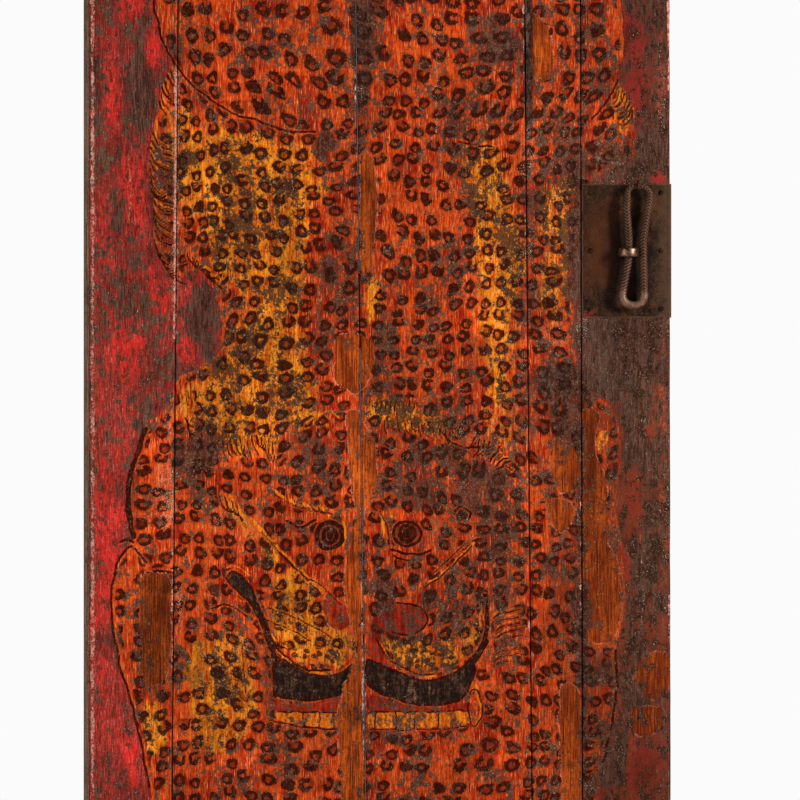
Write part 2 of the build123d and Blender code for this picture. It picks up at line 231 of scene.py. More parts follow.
# Yellow parts of the pelt, with how softly each fades into the orange
YELLOW = [
    (22, [(88, 1082), (122, 1074), (165, 1050), (211, 1036), (250, 1030), (262, 985), (254, 930),
          (244, 860), (238, 800), (246, 752), (268, 716), (280, 690), (240, 680), (204, 664), (172, 656),
          (136, 664), (104, 690), (98, 728), (128, 764), (154, 800), (142, 860), (114, 900), (96, 950),
          (76, 990), (66, 1020), (76, 1056)]),
    (20, [(430, 1022), (470, 1018), (484, 980), (498, 920), (502, 860), (498, 800), (490, 760),
          (496, 716), (492, 680), (470, 664), (450, 690), (444, 740), (446, 800), (440, 860),
          (440, 920), (430, 970)]),
    (8, [(198, 478), (203, 440), (214, 418), (232, 404), (252, 398), (272, 399), (290, 408),
         (298, 428), (284, 450), (258, 480), (230, 506), (208, 520)]),
    (8, [(328, 436), (340, 414), (354, 403), (374, 394), (396, 394), (420, 404), (440, 424),
         (450, 456), (424, 450), (390, 434), (356, 432)]),
    (12, [(150, 606), (196, 560), (214, 532), (250, 506), (236, 496), (206, 520), (180, 548),
          (146, 590)]),
    (8, [(588, 1056), (600, 1078), (612, 1098), (630, 1082), (634, 1052), (616, 1036)]),
    (12, [(516, 960), (540, 984), (562, 980), (566, 940), (556, 880), (550, 820), (530, 800),
          (516, 840), (522, 900)]),
    (10, [(310, 826), (316, 862), (330, 866), (332, 824), (320, 812)]),
    (14, [(104, 430), (140, 450), (180, 430), (184, 340), (156, 300), (104, 310), (98, 380)]),
    (14, [(318, 718), (350, 720), (380, 712), (410, 696), (400, 676), (350, 684), (318, 696)]),
    (8, [(46, 352), (70, 356), (74, 304), (58, 296), (48, 320)]),
]

# Bare wood where the paint is gone
BARE = [
    [(277, 790), (300, 796), (320, 788), (322, 760), (314, 738), (302, 726), (290, 731), (277, 742)],
    [(291, 700), (302, 704), (312, 684), (324, 664), (326, 625), (322, 605), (311, 586), (309, 565),
     (309, 486), (309, 386), (309, 307), (310, 240), (286, 240), (284, 275), (281, 310), (280, 347),
     (292, 387), (302, 414), (297, 446), (288, 486), (290, 526), (298, 565), (302, 585), (300, 605),
     (294, 625), (292, 664)],
    [(308, 1006), (321, 1000), (326, 960), (324, 920), (319, 880), (308, 872)],
    [(509, 1176), (530, 1160), (536, 1120), (528, 1098), (512, 1104), (508, 1140)],
    [(540, 672), (552, 668), (568, 650), (566, 622), (550, 608), (536, 622), (534, 650)],
    [(530, 600), (556, 596), (562, 578), (548, 562), (534, 572)],
    [(573, 704), (590, 700), (586, 676), (586, 652), (596, 630), (600, 600), (602, 548), (584, 538),
     (572, 560), (573, 640)],
    [(573, 540), (606, 542), (614, 510), (616, 470), (606, 436), (586, 430), (573, 450)],
    [(545, 374), (560, 378), (570, 360), (571, 300), (570, 240), (550, 236), (545, 300)],
    [(634, 408), (652, 416), (672, 414), (673, 374), (656, 362), (638, 372)],
    [(630, 350), (662, 352), (668, 336), (650, 318), (632, 322)],
    [(46, 505), (66, 511), (80, 500), (82, 440), (78, 400), (66, 380), (48, 384), (44, 440)],
]

# Dark brush lines: half the width of the brush, then the line
INK_LINES = [
    (1.4, [(61, 1194), (65, 1168), (74, 1140), (87, 1115), (101, 1099), (122, 1080), (140, 1068),
           (163, 1056), (187, 1050), (211, 1040), (231, 1037), (253, 1037)]),
    (1.2, [(422, 1026), (446, 1021), (467, 1019)]),
    (1.3, [(582, 1052), (592, 1063), (604, 1079), (613, 1099)]),
    (3.2, [(50, 684), (43, 658), (35, 638), (31, 611), (31, 585), (37, 555)]),
    (1.6, [(20, 549), (28, 552), (37, 548)]),
    (1.5, [(37, 541), (32, 543), (21, 531), (13, 507), (10, 480), (12, 456), (16, 426), (22, 397),
           (28, 379), (37, 347), (44, 317), (50, 284), (55, 257)]),
    (1.5, [(37, 541), (44, 534), (52, 524)]),
    (1.2, [(398, 692), (407, 676), (428, 662), (461, 662)]),
    (1.3, [(416, 581), (425, 591), (437, 585), (436, 575)]),
    (1.7, [(219, 573), (235, 567), (253, 575)]),
    (1.5, [(343, 541), (360, 535), (378, 535), (390, 540)]),
    (1.2, [(346, 533), (362, 527), (380, 528)]),
    (1.0, [(189, 560), (206, 541), (226, 522), (244, 503)]),
    (1.1, [(200, 548), (216, 530), (236, 512), (262, 495), (285, 474)]),
    (1.0, [(440, 545), (420, 525), (402, 507), (382, 495)]),
    (0.8, [(432, 547), (412, 529), (395, 512)]),
    (1.1, [(196, 472), (235, 456), (273, 436)]),
    (1.0, [(193, 456), (220, 446), (247, 432)]),
    (1.2, [(128, 470), (150, 474), (178, 456)]),
    (4.6, [(176, 484), (182, 474), (187, 462)]),
    (3.6, [(183, 474), (189, 458), (194, 444), (201, 424), (206, 392), (206, 366)]),
    (1.4, [(195, 452), (202, 432), (212, 418), (229, 404), (249, 396), (270, 396)]),
    (1.3, [(348, 476), (366, 475), (381, 468), (387, 456), (379, 444), (362, 438), (344, 442)]),
    (3.8, [(438, 402), (448, 416), (455, 430)]),
    (2.8, [(442, 410), (452, 426), (457, 446), (458, 470), (455, 486)]),
    (1.2, [(326, 434), (336, 416), (350, 403), (372, 393), (392, 392)]),
    (1.1, [(196, 338), (225, 331), (252, 328), (279, 326)]),
    (1.0, [(318, 348), (350, 347), (400, 347), (432, 349)]),
    (1.0, [(318, 326), (360, 326), (410, 327), (432, 330)]),
    (1.0, [(207, 347), (240, 347), (279, 346)]),
    (1.1, [(238, 347), (239, 329)]),
    (1.1, [(259, 346), (258, 328)]),
    (1.1, [(275, 346), (276, 328)]),
    (1.1, [(348, 347), (349, 327)]),
    (1.1, [(372, 347), (371, 327)]),
    (1.1, [(400, 347), (399, 328)]),
    (1.1, [(324, 347), (323, 327)]),
    (1.6, [(48, 510), (64, 514), (84, 512)]),
    (1.0, [(166, 432), (168, 400), (170, 370)]),
    (0.9, [(195, 424), (214, 408), (232, 399)]),
    (1.0, [(464, 632), (478, 640), (487, 634)]),
    (1.1, [(520, 596), (545, 600), (562, 594)]),
    (1.0, [(522, 586), (546, 589), (560, 584)]),
    (1.6, [(610, 420), (612, 376), (604, 325), (592, 272)]),
    (1.1, [(330, 586), (338, 568), (340, 548)]),
]

# Closed ovals drawn with the dark brush
INK_RINGS = [
    (2.6, (270, 557), 15.5, 15.5),
    (2.4, (270, 557), 8.0, 8.4),
    (1.8, (362, 559), 16.5, 14.5),
    (2.6, (362, 559), 8.8, 8.6),
    (1.2, (443, 352), 8.0, 22.0),
]

# Dark shapes filled in
INK_FILLS = [
    [(146, 507), (157, 515), (175, 501), (184, 480), (182, 468), (170, 480), (160, 490), (152, 497)],
    [(203, 396), (212, 410), (229, 401), (250, 392), (271, 391), (288, 398), (300, 406), (302, 391),
     (294, 374), (276, 364), (255, 360), (226, 361), (207, 366)],
    [(313, 408), (326, 408), (342, 400), (372, 388), (404, 388), (428, 402), (440, 412), (444, 396),
     (434, 368), (416, 357), (388, 353), (358, 358), (332, 367), (315, 378)],
    ring((270, 557), 4.4, 4.6, 8),
    ring((362, 559), 5.0, 5.2, 8),
]

# Yellow brush lines: half the width of the brush, then the line
GOLD_LINES = [
    (2.6, [(176, 576), (186, 566), (203, 546), (223, 527), (242, 508), (262, 490)]),
    (1.6, [(200, 612), (214, 604), (232, 594), (250, 590)]),
    (1.4, [(250, 590), (262, 588), (270, 580)]),
    (0.9, [(208, 541), (228, 521), (252, 503)]),
    (1.5, [(443, 548), (424, 530), (405, 511), (385, 497)]),
    (1.5, [(200, 440), (213, 415), (231, 401), (250, 393), (272, 393)]),
    (1.4, [(329, 430), (340, 412), (354, 400), (374, 390), (396, 390)]),
    (2.0, [(332, 582), (334, 566), (331, 552)]),
    (1.6, [(344, 584), (343, 568), (346, 553)]),
    (1.5, [(286, 572), (290, 558), (286, 544)]),
    (1.4, [(449, 476), (450, 462), (449, 448)]),
    (2.2, [(300, 368), (307, 350), (306, 322)]),
    (2.0, [(436, 388), (446, 372), (450, 350), (446, 330)]),
    (1.5, [(281, 356), (280, 342), (283, 330)]),
    (1.3, [(240, 690), (256, 700), (272, 704), (282, 698)]),
    (1.1, [(146, 517), (158, 521), (176, 509)]),
]

# Yellow shapes filled in
GOLD_FILLS = [
    [(208, 346), (244, 346), (279, 345), (278, 329), (240, 331), (214, 335)],
    [(319, 345), (370, 346), (430, 347), (436, 334), (400, 329), (350, 328), (319, 328)],
    [(587, 664), (592, 680), (599, 682), (600, 670), (592, 658)],
    [(340, 694), (350, 700), (362, 692), (372, 700), (380, 690), (360, 684)],
]

# Crimson shapes filled in
CRIMSON_FILLS = [
    [(207, 361), (220, 355), (250, 358), (279, 362), (282, 346), (240, 347), (208, 347)],
    [(319, 366), (345, 359), (372, 354), (400, 352), (436, 358), (438, 348), (380, 347), (320, 347)],
    ring((356, 457), 30.0, 18.0, 12),
    [(318, 440), (330, 436), (336, 416), (340, 400), (322, 408), (316, 420)],
    [(262, 476), (276, 482), (292, 470), (294, 452), (282, 444), (268, 452)],
]

# Loose dirt and bare ground showing: middle, half width, half height and how strongly it shows
GRIME = [
    (572, 740, 60, 24, 1.0), (625, 778, 60, 50, 1.0), (465, 1135, 34, 44, 0.6), (487, 1140, 10, 9, 0.9),
    (540, 1000, 46, 90, 0.45), (625, 1004, 56, 28, 0.7), (115, 646, 30, 20, 0.5), (118, 610, 24, 30, 0.3),
    (150, 412, 32, 64, 0.5), (310, 1150, 16, 64, 0.9), (306, 1080, 10, 30, 0.6), (120, 815, 22, 40, 0.8),
    (24, 1100, 20, 20, 0.4), (48, 1092, 14, 60, 0.8), (638, 560, 34, 150, 0.5), (640, 690, 40, 56, 0.9),
    (548, 700, 24, 56, 0.75), (648, 300, 26, 90, 0.45), (482, 580, 28, 100, 0.6), (336, 492, 18, 32, 0.7),
    (62, 694, 24, 32, 0.6), (112, 660, 32, 36, 0.8), (60, 536, 20, 26, 0.3), (287, 655, 24, 28, 0.4),
    (236, 645, 50, 30, 0.4), (92, 396, 12, 30, 0.7), (570, 500, 10, 250, 0.5), (560, 885, 16, 90, 0.6),
    (536, 850, 26, 50, 0.4), (492, 742, 30, 36, 0.5), (80, 985, 20, 30, 0.5), (240, 775, 20, 16, 0.5),
    (20, 940, 16, 20, 0.5), (30, 810, 20, 24, 0.3), (424, 1050, 50, 34, 0.45), (440, 614, 28, 30, 0.6),
    (362, 610, 50, 26, 0.75), (210, 300, 20, 40, 0.4), (298, 556, 12, 32, 0.4), (530, 520, 20, 20, 0.5),
    (590, 390, 22, 14, 0.6), (440, 940, 20, 14, 0.4), (340, 795, 16, 30, 0.5), (262, 708, 26, 14, 0.4),
    (60, 330, 24, 60, 0.25), (300, 270, 30, 30, 0.3), (155, 1015, 24, 28, 0.3), (205, 850, 28, 20, 0.6),
    (132, 752, 20, 22, 0.5), (180, 790, 32, 26, 0.4), (230, 720, 32, 30, 0.6), (165, 668, 36, 16, 0.3),
    (280, 985, 18, 22, 0.3), (280, 920, 18, 22, 0.4), (442, 985, 30, 40, 0.5), (480, 925, 18, 32, 0.6),
    (395, 1015, 22, 26, 0.4), (380, 703, 70, 22, 0.45), (640, 1080, 16, 22, 0.5),
    (622, 1045, 16, 22, 0.5), (355, 450, 44, 20, 0.25), (480, 415, 22, 28, 0.6), (570, 465, 16, 32, 0.7),
    (54, 420, 18, 60, 0.45), (290, 355, 44, 20, 0.3), (400, 337, 50, 12, 0.35), (310, 480, 10, 40, 0.5),
    (200, 620, 24, 20, 0.4), (100, 500, 14, 30, 0.4), (152, 950, 44, 64, 0.62), (165, 912, 22, 26, 0.25),
    (224, 975, 10, 26, 0.6), (194, 905, 14, 26, 0.4), (104, 1002, 12, 18, 0.7), (262, 1022, 16, 18, 0.6),
    (168, 1118, 12, 14, 0.7), (196, 1135, 30, 12, 0.4), (420, 890, 20, 40, 0.4), (360, 1020, 14, 20, 0.3),
    (400, 640, 60, 24, 0.4), (250, 610, 40, 14, 0.4), (190, 520, 14, 24, 0.4), (560, 950, 16, 60, 0.3),
    (655, 1040, 20, 40, 0.5), (545, 560, 22, 90, 0.5), (600, 290, 20, 50, 0.4), (430, 470, 50, 30, 0.3),
]

# Soot and blackened varnish, in soft patches: middle, half width, half height and strength
SOOT = [
    (545, 742, 34, 20, 1.0), (600, 738, 46, 14, 0.9), (487, 1140, 18, 12, 0.8), (70, 965, 18, 80, 0.7),
    (76, 890, 22, 36, 0.6), (62, 430, 24, 74, 0.75), (66, 500, 24, 16, 0.8), (36, 620, 10, 60, 0.5),
    (300, 345, 14, 16, 0.7), (308, 1100, 12, 110, 0.5), (590, 1010, 60, 40, 0.35),
    (612, 700, 50, 16, 0.4), (332, 450, 22, 26, 0.6), (150, 1000, 30, 40, 0.3), (270, 557, 19, 19, 0.8),
    (362, 559, 19, 17, 0.8), (362, 559, 9, 9, 0.85), (507, 1120, 8, 110, 1.0), (640, 650, 30, 60, 0.2),
    (590, 800, 40, 14, 0.45), (480, 470, 22, 60, 0.35), (200, 400, 12, 56, 0.9), (316, 950, 12, 70, 0.45),
    (562, 900, 12, 90, 0.6), (466, 1150, 36, 34, 0.5), (320, 1160, 18, 50, 0.7), (540, 880, 20, 60, 0.2),
    (500, 700, 24, 60, 0.4), (450, 760, 24, 40, 0.3), (560, 660, 14, 60, 0.4), (240, 660, 40, 20, 0.3),
    (410, 600, 60, 20, 0.3), (580, 620, 9, 90, 0.8), (600, 520, 24, 60, 0.3), (640, 330, 30, 90, 0.15),
    (585, 400, 30, 20, 0.7), (556, 470, 30, 30, 0.4),
]

# Chalky, flaked paint in pink and white specks: middle, half width, half height and strength
CHALK = [
    (78, 690, 8, 36, 0.8), (76, 606, 18, 58, 1.0), (91, 480, 6, 54, 0.9), (538, 794, 24, 20, 0.8),
    (86, 870, 7, 70, 0.7), (88, 1040, 8, 70, 0.6), (506, 1000, 10, 60, 0.7), (506, 860, 9, 60, 0.5),
    (570, 800, 9, 40, 0.6), (572, 1100, 8, 50, 0.5), (305, 1090, 8, 60, 0.5), (448, 560, 26, 50, 0.35),
    (540, 930, 24, 60, 0.4), (448, 690, 40, 40, 0.35), (310, 690, 14, 30, 0.4), (240, 660, 50, 30, 0.3),
    (398, 1090, 6, 90, 0.5), (-12, 700, 6, 460, 0.4), (668, 700, 8, 300, 0.5), (664, 1090, 8, 80, 0.6),
    (170, 570, 50, 40, 0.25), (480, 800, 20, 60, 0.25), (620, 330, 20, 60, 0.3), (360, 656, 26, 14, 0.6),
    (431, 617, 14, 16, 0.6), (393, 563, 12, 20, 0.5), (286, 606, 5, 4, 1.0), (137, 581, 8, 14, 0.9),
    (169, 426, 8, 10, 0.9), (431, 430, 14, 10, 0.8), (560, 770, 20, 10, 0.6), (548, 1000, 20, 14, 0.6),
    (600, 980, 40, 10, 0.6), (110, 640, 14, 12, 0.8), (470, 900, 20, 30, 0.5), (560, 420, 8, 60, 0.4),
]

# Patches of painted uneven light and of uneven old varnish, brighter above 0 and darker below: middle, half
# width, half height, how much
LIGHT_AND_VARNISH_PATCHES = [
    (452, 850, 34, 46, 0.9), (462, 788, 24, 30, 1.0), (304, 620, 24, 40, 0.9), (160, 430, 36, 40, 0.9),
    (214, 405, 22, 44, 0.9), (30, 330, 40, 60, 0.9), (60, 560, 50, 50, 1.0), (56, 664, 50, 40, 0.9),
    (484, 645, 26, 40, 0.8), (166, 745, 26, 26, 0.5), (192, 690, 30, 36, 0.8), (556, 900, 22, 80, 0.8),
    (580, 1032, 34, 30, 0.9), (512, 1052, 16, 26, 0.8), (296, 494, 20, 26, 0.8), (650, 680, 24, 60, 0.9),
    (660, 930, 12, 60, 0.7), (84, 820, 26, 60, 0.7), (120, 1040, 20, 20, 0.8), (158, 1080, 20, 40, 0.5),
    (240, 1050, 18, 60, 0.5), (250, 1156, 30, 20, -0.7), (312, 718, 22, 16, -0.7),
    (250, 930, 20, 26, 0.8), (550, 560, 20, 50, 0.6), (420, 385, 44, 14, 0.6), (283, 710, 24, 60, 0.9),
    (40, 720, 40, 90, 0.7), (4, 700, 16, 460, 0.45), (212, 610, 22, 24, 0.7), (150, 530, 50, 60, 0.6),
    (5, 450, 14, 60, 0.6), (160, 290, 30, 26, 0.8), (48, 285, 20, 24, 0.6), (452, 1170, 40, 30, 0.5),
    (520, 1150, 16, 30, 0.6), (132, 960, 14, 40, 0.8), (368, 580, 20, 30, 0.6), (500, 740, 20, 60, 0.5),
    (96, 312, 12, 26, 0.8), (345, 290, 60, 14, 0.5), (470, 300, 20, 16, 0.5), (105, 1002, 14, 20, -0.8),
    (218, 915, 20, 50, -1.0), (208, 780, 22, 26, -0.8), (238, 732, 20, 20, -0.6),
    (266, 1020, 16, 20, -0.8), (150, 765, 26, 24, -0.8), (348, 440, 24, 40, -0.5),
    (294, 380, 26, 80, -0.7), (430, 1070, 40, 60, -0.7), (440, 985, 60, 30, -0.5),
    (618, 1130, 60, 70, -0.9), (538, 436, 20, 30, -0.9), (474, 355, 26, 40, -0.8),
    (620, 275, 50, 50, -1.0), (178, 650, 40, 16, 0.8), (410, 415, 40, 30, -0.6), (85, 1150, 20, 60, -0.6),
    (355, 262, 40, 24, -0.7), (434, 262, 50, 24, -0.8), (140, 314, 26, 20, -0.7),
    (260, 275, 30, 26, -0.9), (430, 555, 50, 40, -0.6), (420, 475, 60, 30, -0.4),
    (430, 668, 40, 26, -0.8), (340, 830, 20, 60, -0.5), (80, 920, 20, 40, -0.7), (590, 610, 30, 80, -0.3),
    (156, 888, 26, 26, -0.8), (604, 300, 36, 80, -1.0), (210, 1070, 20, 20, -0.7),
    (285, 900, 34, 80, -0.5), (610, 800, 50, 24, -0.6), (492, 850, 14, 70, -0.9),
    (320, 1070, 24, 40, -0.9), (350, 975, 16, 24, -0.9), (345, 655, 40, 24, -0.9),
    (400, 850, 24, 26, -0.7), (420, 300, 30, 30, -0.8), (60, 350, 16, 70, -0.7), (430, 770, 16, 30, -0.7),
    (335, 740, 26, 30, -0.6), (112, 422, 22, 16, -0.6), (224, 465, 24, 20, -0.6),
    (572, 470, 16, 26, -0.7), (545, 390, 24, 20, -0.6),
]

# Pale scratches: half the width, then the line
SCRATCHES = [
    (0.8, [(395, 1180), (398, 1120), (396, 1060), (402, 1000)]),
    (0.7, [(409, 1062), (411, 1038)]),
    (0.7, [(38, 835), (45, 815), (50, 800)]),
    (0.6, [(300, 696), (292, 664), (294, 625), (300, 605)]),
    (0.6, [(324, 664), (326, 625), (322, 605), (311, 586)]),
    (0.6, [(575, 704), (590, 711), (602, 702)]),
    (0.7, [(30, 1010), (33, 960), (30, 930)]),
    (0.6, [(160, 1180), (163, 1120), (161, 1090)]),
    (0.6, [(640, 560), (643, 500), (641, 450)]),
]

# Brighter, cleaner red in the border: middle, half width and half height
RED_PATCHES = [
    (30, 1186, 16, 20), (38, 968, 18, 46), (12, 1085, 12, 60), (66, 850, 12, 30), (60, 1130, 14, 26),
    (6, 520, 16, 60), (-4, 440, 14, 50), (30, 770, 24, 40), (6, 600, 20, 60), (35, 280, 14, 30),
    (630, 1150, 20, 30), (646, 680, 14, 14), (632, 600, 12, 44), (622, 530, 8, 34), (658, 290, 16, 40),
    (634, 290, 10, 50), (636, 280, 14, 20), (637, 1085, 16, 30), (102, 775, 12, 20), (660, 985, 10, 8),
]

# Worn, pale edges: the seam's number or the leaf's outer side, top, bottom and how strongly it shows
SEAM_WEAR = [
    ("left", 1200, 240, 1.0), (0, 1118, 790, 1.1), (0, 560, 380, 0.55), (1, 1160, 1000, 0.45),
    (1, 830, 800, 0.5), (1, 519, 300, 0.8), (2, 1194, 1090, 0.9), (2, 1050, 880, 0.4), (2, 500, 400, 0.8),
    (2, 700, 560, 0.4), (3, 700, 430, 0.4), (3, 1190, 1090, 0.4), ("right", 1194, 1085, 1.0),
    ("right", 520, 430, 0.6), ("right", 720, 240, 0.35),
]

# Small knocks: middle, half width, half height and depth
DENTS = [(487, 1140, 8, 7, 0.9), (590, 1130, 7, 6, 0.6), (648, 424, 5, 6, 0.7), (538, 1048, 4, 10, 0.6)]

# Outline of one shallow chip with a raised rim
CHIP = ring((406, 946), 15, 30)

# Drying checks in the boards: place across the leaf, top and bottom
CHECKS = [
    (399, 1110, 985), (310, 1180, 1060), (135, 690, 560), (538, 640, 570), (232, 420, 300),
    (48, 900, 760), (452, 330, 236), (628, 560, 400), (172, 1500, 1290), (352, 1620, 1400),
    (250, 180, 20), (430, 140, 10), (28, 240, 60), (596, 1500, 1330),
]


def hair_strokes():
    """Short strokes of the pelt's fringe, with half their brush width: dark ones and yellow ones."""
    dark, yellow = [], []

    def row(points, sweep, count, spread=0.0, both=True, width=1.0):
        line = flowing(points)
        lengths = np.concatenate([[0], np.cumsum(np.hypot(*np.diff(line, axis=0).T))])
        for number in range(count):
            place = lengths[-1] * (number + 0.5) / count
            x = np.interp(place, lengths, line[:, 0])
            z = np.interp(place, lengths, line[:, 1])
            wobble = scatter(np.int64(number), np.int64(count), 5) - 0.5
            reach_x = sweep[0] * (1 + 0.5 * wobble)
            reach_z = sweep[1] * (1 - 0.4 * wobble) + spread * wobble
            bend = (x + reach_x * 0.32, z + reach_z * 0.62)
            stroke = [(x, z), bend, (x + reach_x, z + reach_z)]
            dark.append((width * (1.05 + 0.4 * wobble), stroke))
            if both:
                gap = lengths[-1] / count / 2
                yellow.append((width * (0.75 + 0.3 * wobble), [(px + 1, pz + gap) for px, pz in stroke]))

    row([(60, 1040), (57, 1010), (56, 980), (59, 956), (61, 930)], (24, -22), 13)
    row([(62, 925), (61, 905), (68, 888), (80, 868)], (18, -20), 6, both=False)
    row([(88, 1122), (80, 1110), (72, 1090), (66, 1070)], (8, -18), 7)
    row([(98, 896), (112, 884), (124, 872), (134, 860)], (14, -16), 7)
    row([(322, 703), (345, 705), (372, 704)], (2, 13), 9, spread=3)
    row([(330, 692), (352, 694), (380, 690), (420, 680)], (5, -14), 11, spread=3)
    row([(140, 668), (160, 674), (185, 676), (204, 668)], (7, -24), 13, spread=4)
    row([(96, 700), (100, 690), (104, 676)], (8, -14), 3)
    row([(90, 742), (98, 740), (108, 736)], (2, -30), 3, width=0.7)
    row([(612, 1092), (620, 1084), (628, 1072), (632, 1060)], (-10, -18), 7, width=0.9)
    row([(440, 676), (452, 672), (464, 668), (474, 662)], (-9, -18), 6, spread=3)
    row([(456, 650), (464, 640), (474, 634)], (12, 12), 5)
    row([(464, 462), (470, 430), (464, 396)], (28, 9), 9, spread=5, width=0.8)
    row([(208, 436), (206, 414), (218, 402)], (9, -10), 3)
    row([(134, 608), (150, 600), (164, 590)], (12, -26), 4)
    row([(214, 606), (236, 596), (262, 590)], (14, -10), 5)
    return dark, yellow


def painted(x, z):
    """What is painted at each place of the front, as distances in millimetres and shares."""
    shape = {}
    wavy_x = x + 1.2 * drift(x, z, 9, 9, 91) + 0.5 * drift(x, z, 3.6, 3.6, 92)
    wavy_z = z + 1.2 * drift(x, z, 9, 9, 93) + 0.5 * drift(x, z, 3.6, 3.6, 94)
    shape["pelt_mm"] = depth_in(PELT, wavy_x, wavy_z, 40)

    warmth = np.full(x.shape, -1.0)
    for softness, outline in YELLOW:
        depth = depth_in(outline, wavy_x, wavy_z, 30)
        warmth = np.maximum(warmth, np.clip(depth / softness, -1, 1))
    warmth = 0.40 + 0.42 * warmth + 0.34 * rough_drift(x, z, 20, 44, 31, 4)
    warmth -= 0.25 * soft_step(z, 1034, 1046) * soft_step(x, 60, 90)
    shape["warmth"] = np.clip(warmth, 0, 1)

    dark, yellow = hair_strokes()
    inked = [(half, flowing(points)) for half, points in INK_LINES + dark]
    inked += [
        (half, flowing(ring(centre, across, tall), closed=True))
        for half, centre, across, tall in INK_RINGS
    ]
    gilded = [(half, flowing(points)) for half, points in GOLD_LINES + yellow]
    shape["ink_mm"] = brush_marks(wavy_x, wavy_z, inked, INK_FILLS)
    shape["gold_mm"] = brush_marks(wavy_x, wavy_z, gilded, GOLD_FILLS)
    shape["crimson_mm"] = brush_marks(wavy_x, wavy_z, (), CRIMSON_FILLS)

    wood = np.full(x.shape, -9.0)
    for outline in BARE:
        wood = np.maximum(wood, depth_in(outline, wavy_x, wavy_z, 9))
    shape["wood_mm"] = wood + 1.6 * rough_drift(x, z, 5, 14, 41)

    red_ground = [(*patch, 1.0) for patch in RED_PATCHES]
    dirt = 0.355 + 0.20 * rough_drift(x, z, 22, 30, 51, 4) + 0.10 * drift(x, z, 90, 120, 52)
    border = soft_step(-shape["pelt_mm"], 0, 8)
    dirt = dirt + 0.08 * border * (1 + rough_drift(x, z, 7, 24, 53, 3))
    dirt = dirt + 0.42 * patches(x, z, GRIME, 1.2) - 0.28 * patches(x, z, red_ground, 1.3)
    shape["grime"] = np.clip(dirt, 0, 0.9)

    shape["soot"] = strongest_patch(x, z, SOOT, 2)
    chalk = strongest_patch(x, z, CHALK, 1.6)
    for half, points in SCRATCHES + [(0.6, CHIP + [(421, 946)])]:
        away = distance_to(flowing(points), wavy_x, wavy_z, 8) - half
        chalk = np.maximum(chalk, 1.15 * (1 - soft_step(away, -0.6, 1.0)))
    shape["chalk"] = chalk
    # Painted uneven light and uneven old varnish, as one field
    light_and_varnish = 0.12 * rough_drift(x, z, 36, 50, 62, 3) + patches(x, z, LIGHT_AND_VARNISH_PATCHES, 1.3)
    shape["light_and_varnish"] = np.clip(light_and_varnish, -1, 1)

    glow = 0.42 + 0.6 * patches(x, z, red_ground, 1.4) + 0.45 * rough_drift(x, z, 9, 44, 61, 4)
    glow = glow - 0.20 * soft_step(x, 575, 600) * (1 - soft_step(z, 740, 800))
    shape["red_glow"] = np.clip(glow, 0, 1)
    return shape


def spot_places(x, z, shape):
    """Where each place lies in the field of rosettes, in rosettes, and how many are painted there."""
    sparse = soft_step(z, 1030, 1110)
    u = (x - 320) / ROSETTE_PITCH * (1 - 0.12 * sparse)
    v = (z - 500 - 0.14 * np.clip(z - 1060, 0, None)) / (ROSETTE_PITCH * 0.95)
    u = u + 0.50 * drift(x, z, 84, 95, 71) + 0.12 * np.sin(z / 30)
    v = v + 0.50 * drift(x, z, 90, 84, 72) + 0.12 * np.sin(x / 27)
    count = soft_step(shape["pelt_mm"], 3.0, 6.5)
    count = count * soft_step(shape["ink_mm"], 0.5, 2.5)
    for outline in GOLD_FILLS + CRIMSON_FILLS:
        count = count * soft_step(-depth_in(outline, x, z, 8), -1, 2)
    muzzle = np.maximum(blob(x, z, 250, 408, 46, 17), blob(x, z, 382, 404, 58, 15))
    return u, v, count, np.clip(muzzle * 4, 0, 1)


def wear_lines(x, z, left, right, name):
    """How pale and rubbed the two long edges of a board are, 0 to 1."""
    order = ["pivot_board", "board_2", "board_3", "board_4", "pull_board"].index(name)
    pale = np.zeros(x.shape)
    for seam, top, bottom, strength in SEAM_WEAR:
        if seam == "left":
            side = left - 6.2 if order == 0 else None
        elif seam == "right":
            side = right if order == 4 else None
        else:
            side = right if seam == order else left if seam == order - 1 else None
            strength = strength * (1.0 if seam == order else 0.45)
        if side is None:
            continue
        span = soft_step(z, bottom - 12, bottom + 12)
        if seam not in ("left", "right") or top < 1190:
            span = span * (1 - soft_step(z, top - 12, top + 12))
        reach = 2.8 if seam == "left" else 2.2 if seam == 0 else 1.6
        reach = reach + 0.9 * rough_drift(0 * z, z, 5, 26, 82, 3)
        near = np.exp(-((side - 1.3) / reach) ** 2)
        pale = np.maximum(pale, strength * span * near)
    broken = 0.56 + 0.95 * rough_drift(x * 0.2, z, 3, 16, 81, 3)
    if order == 0:
        broken = np.where(left < 20, 0.50 + 0.3 * broken, 0.45 + 0.5 * broken)
    return np.clip(pale * broken, 0, 1)


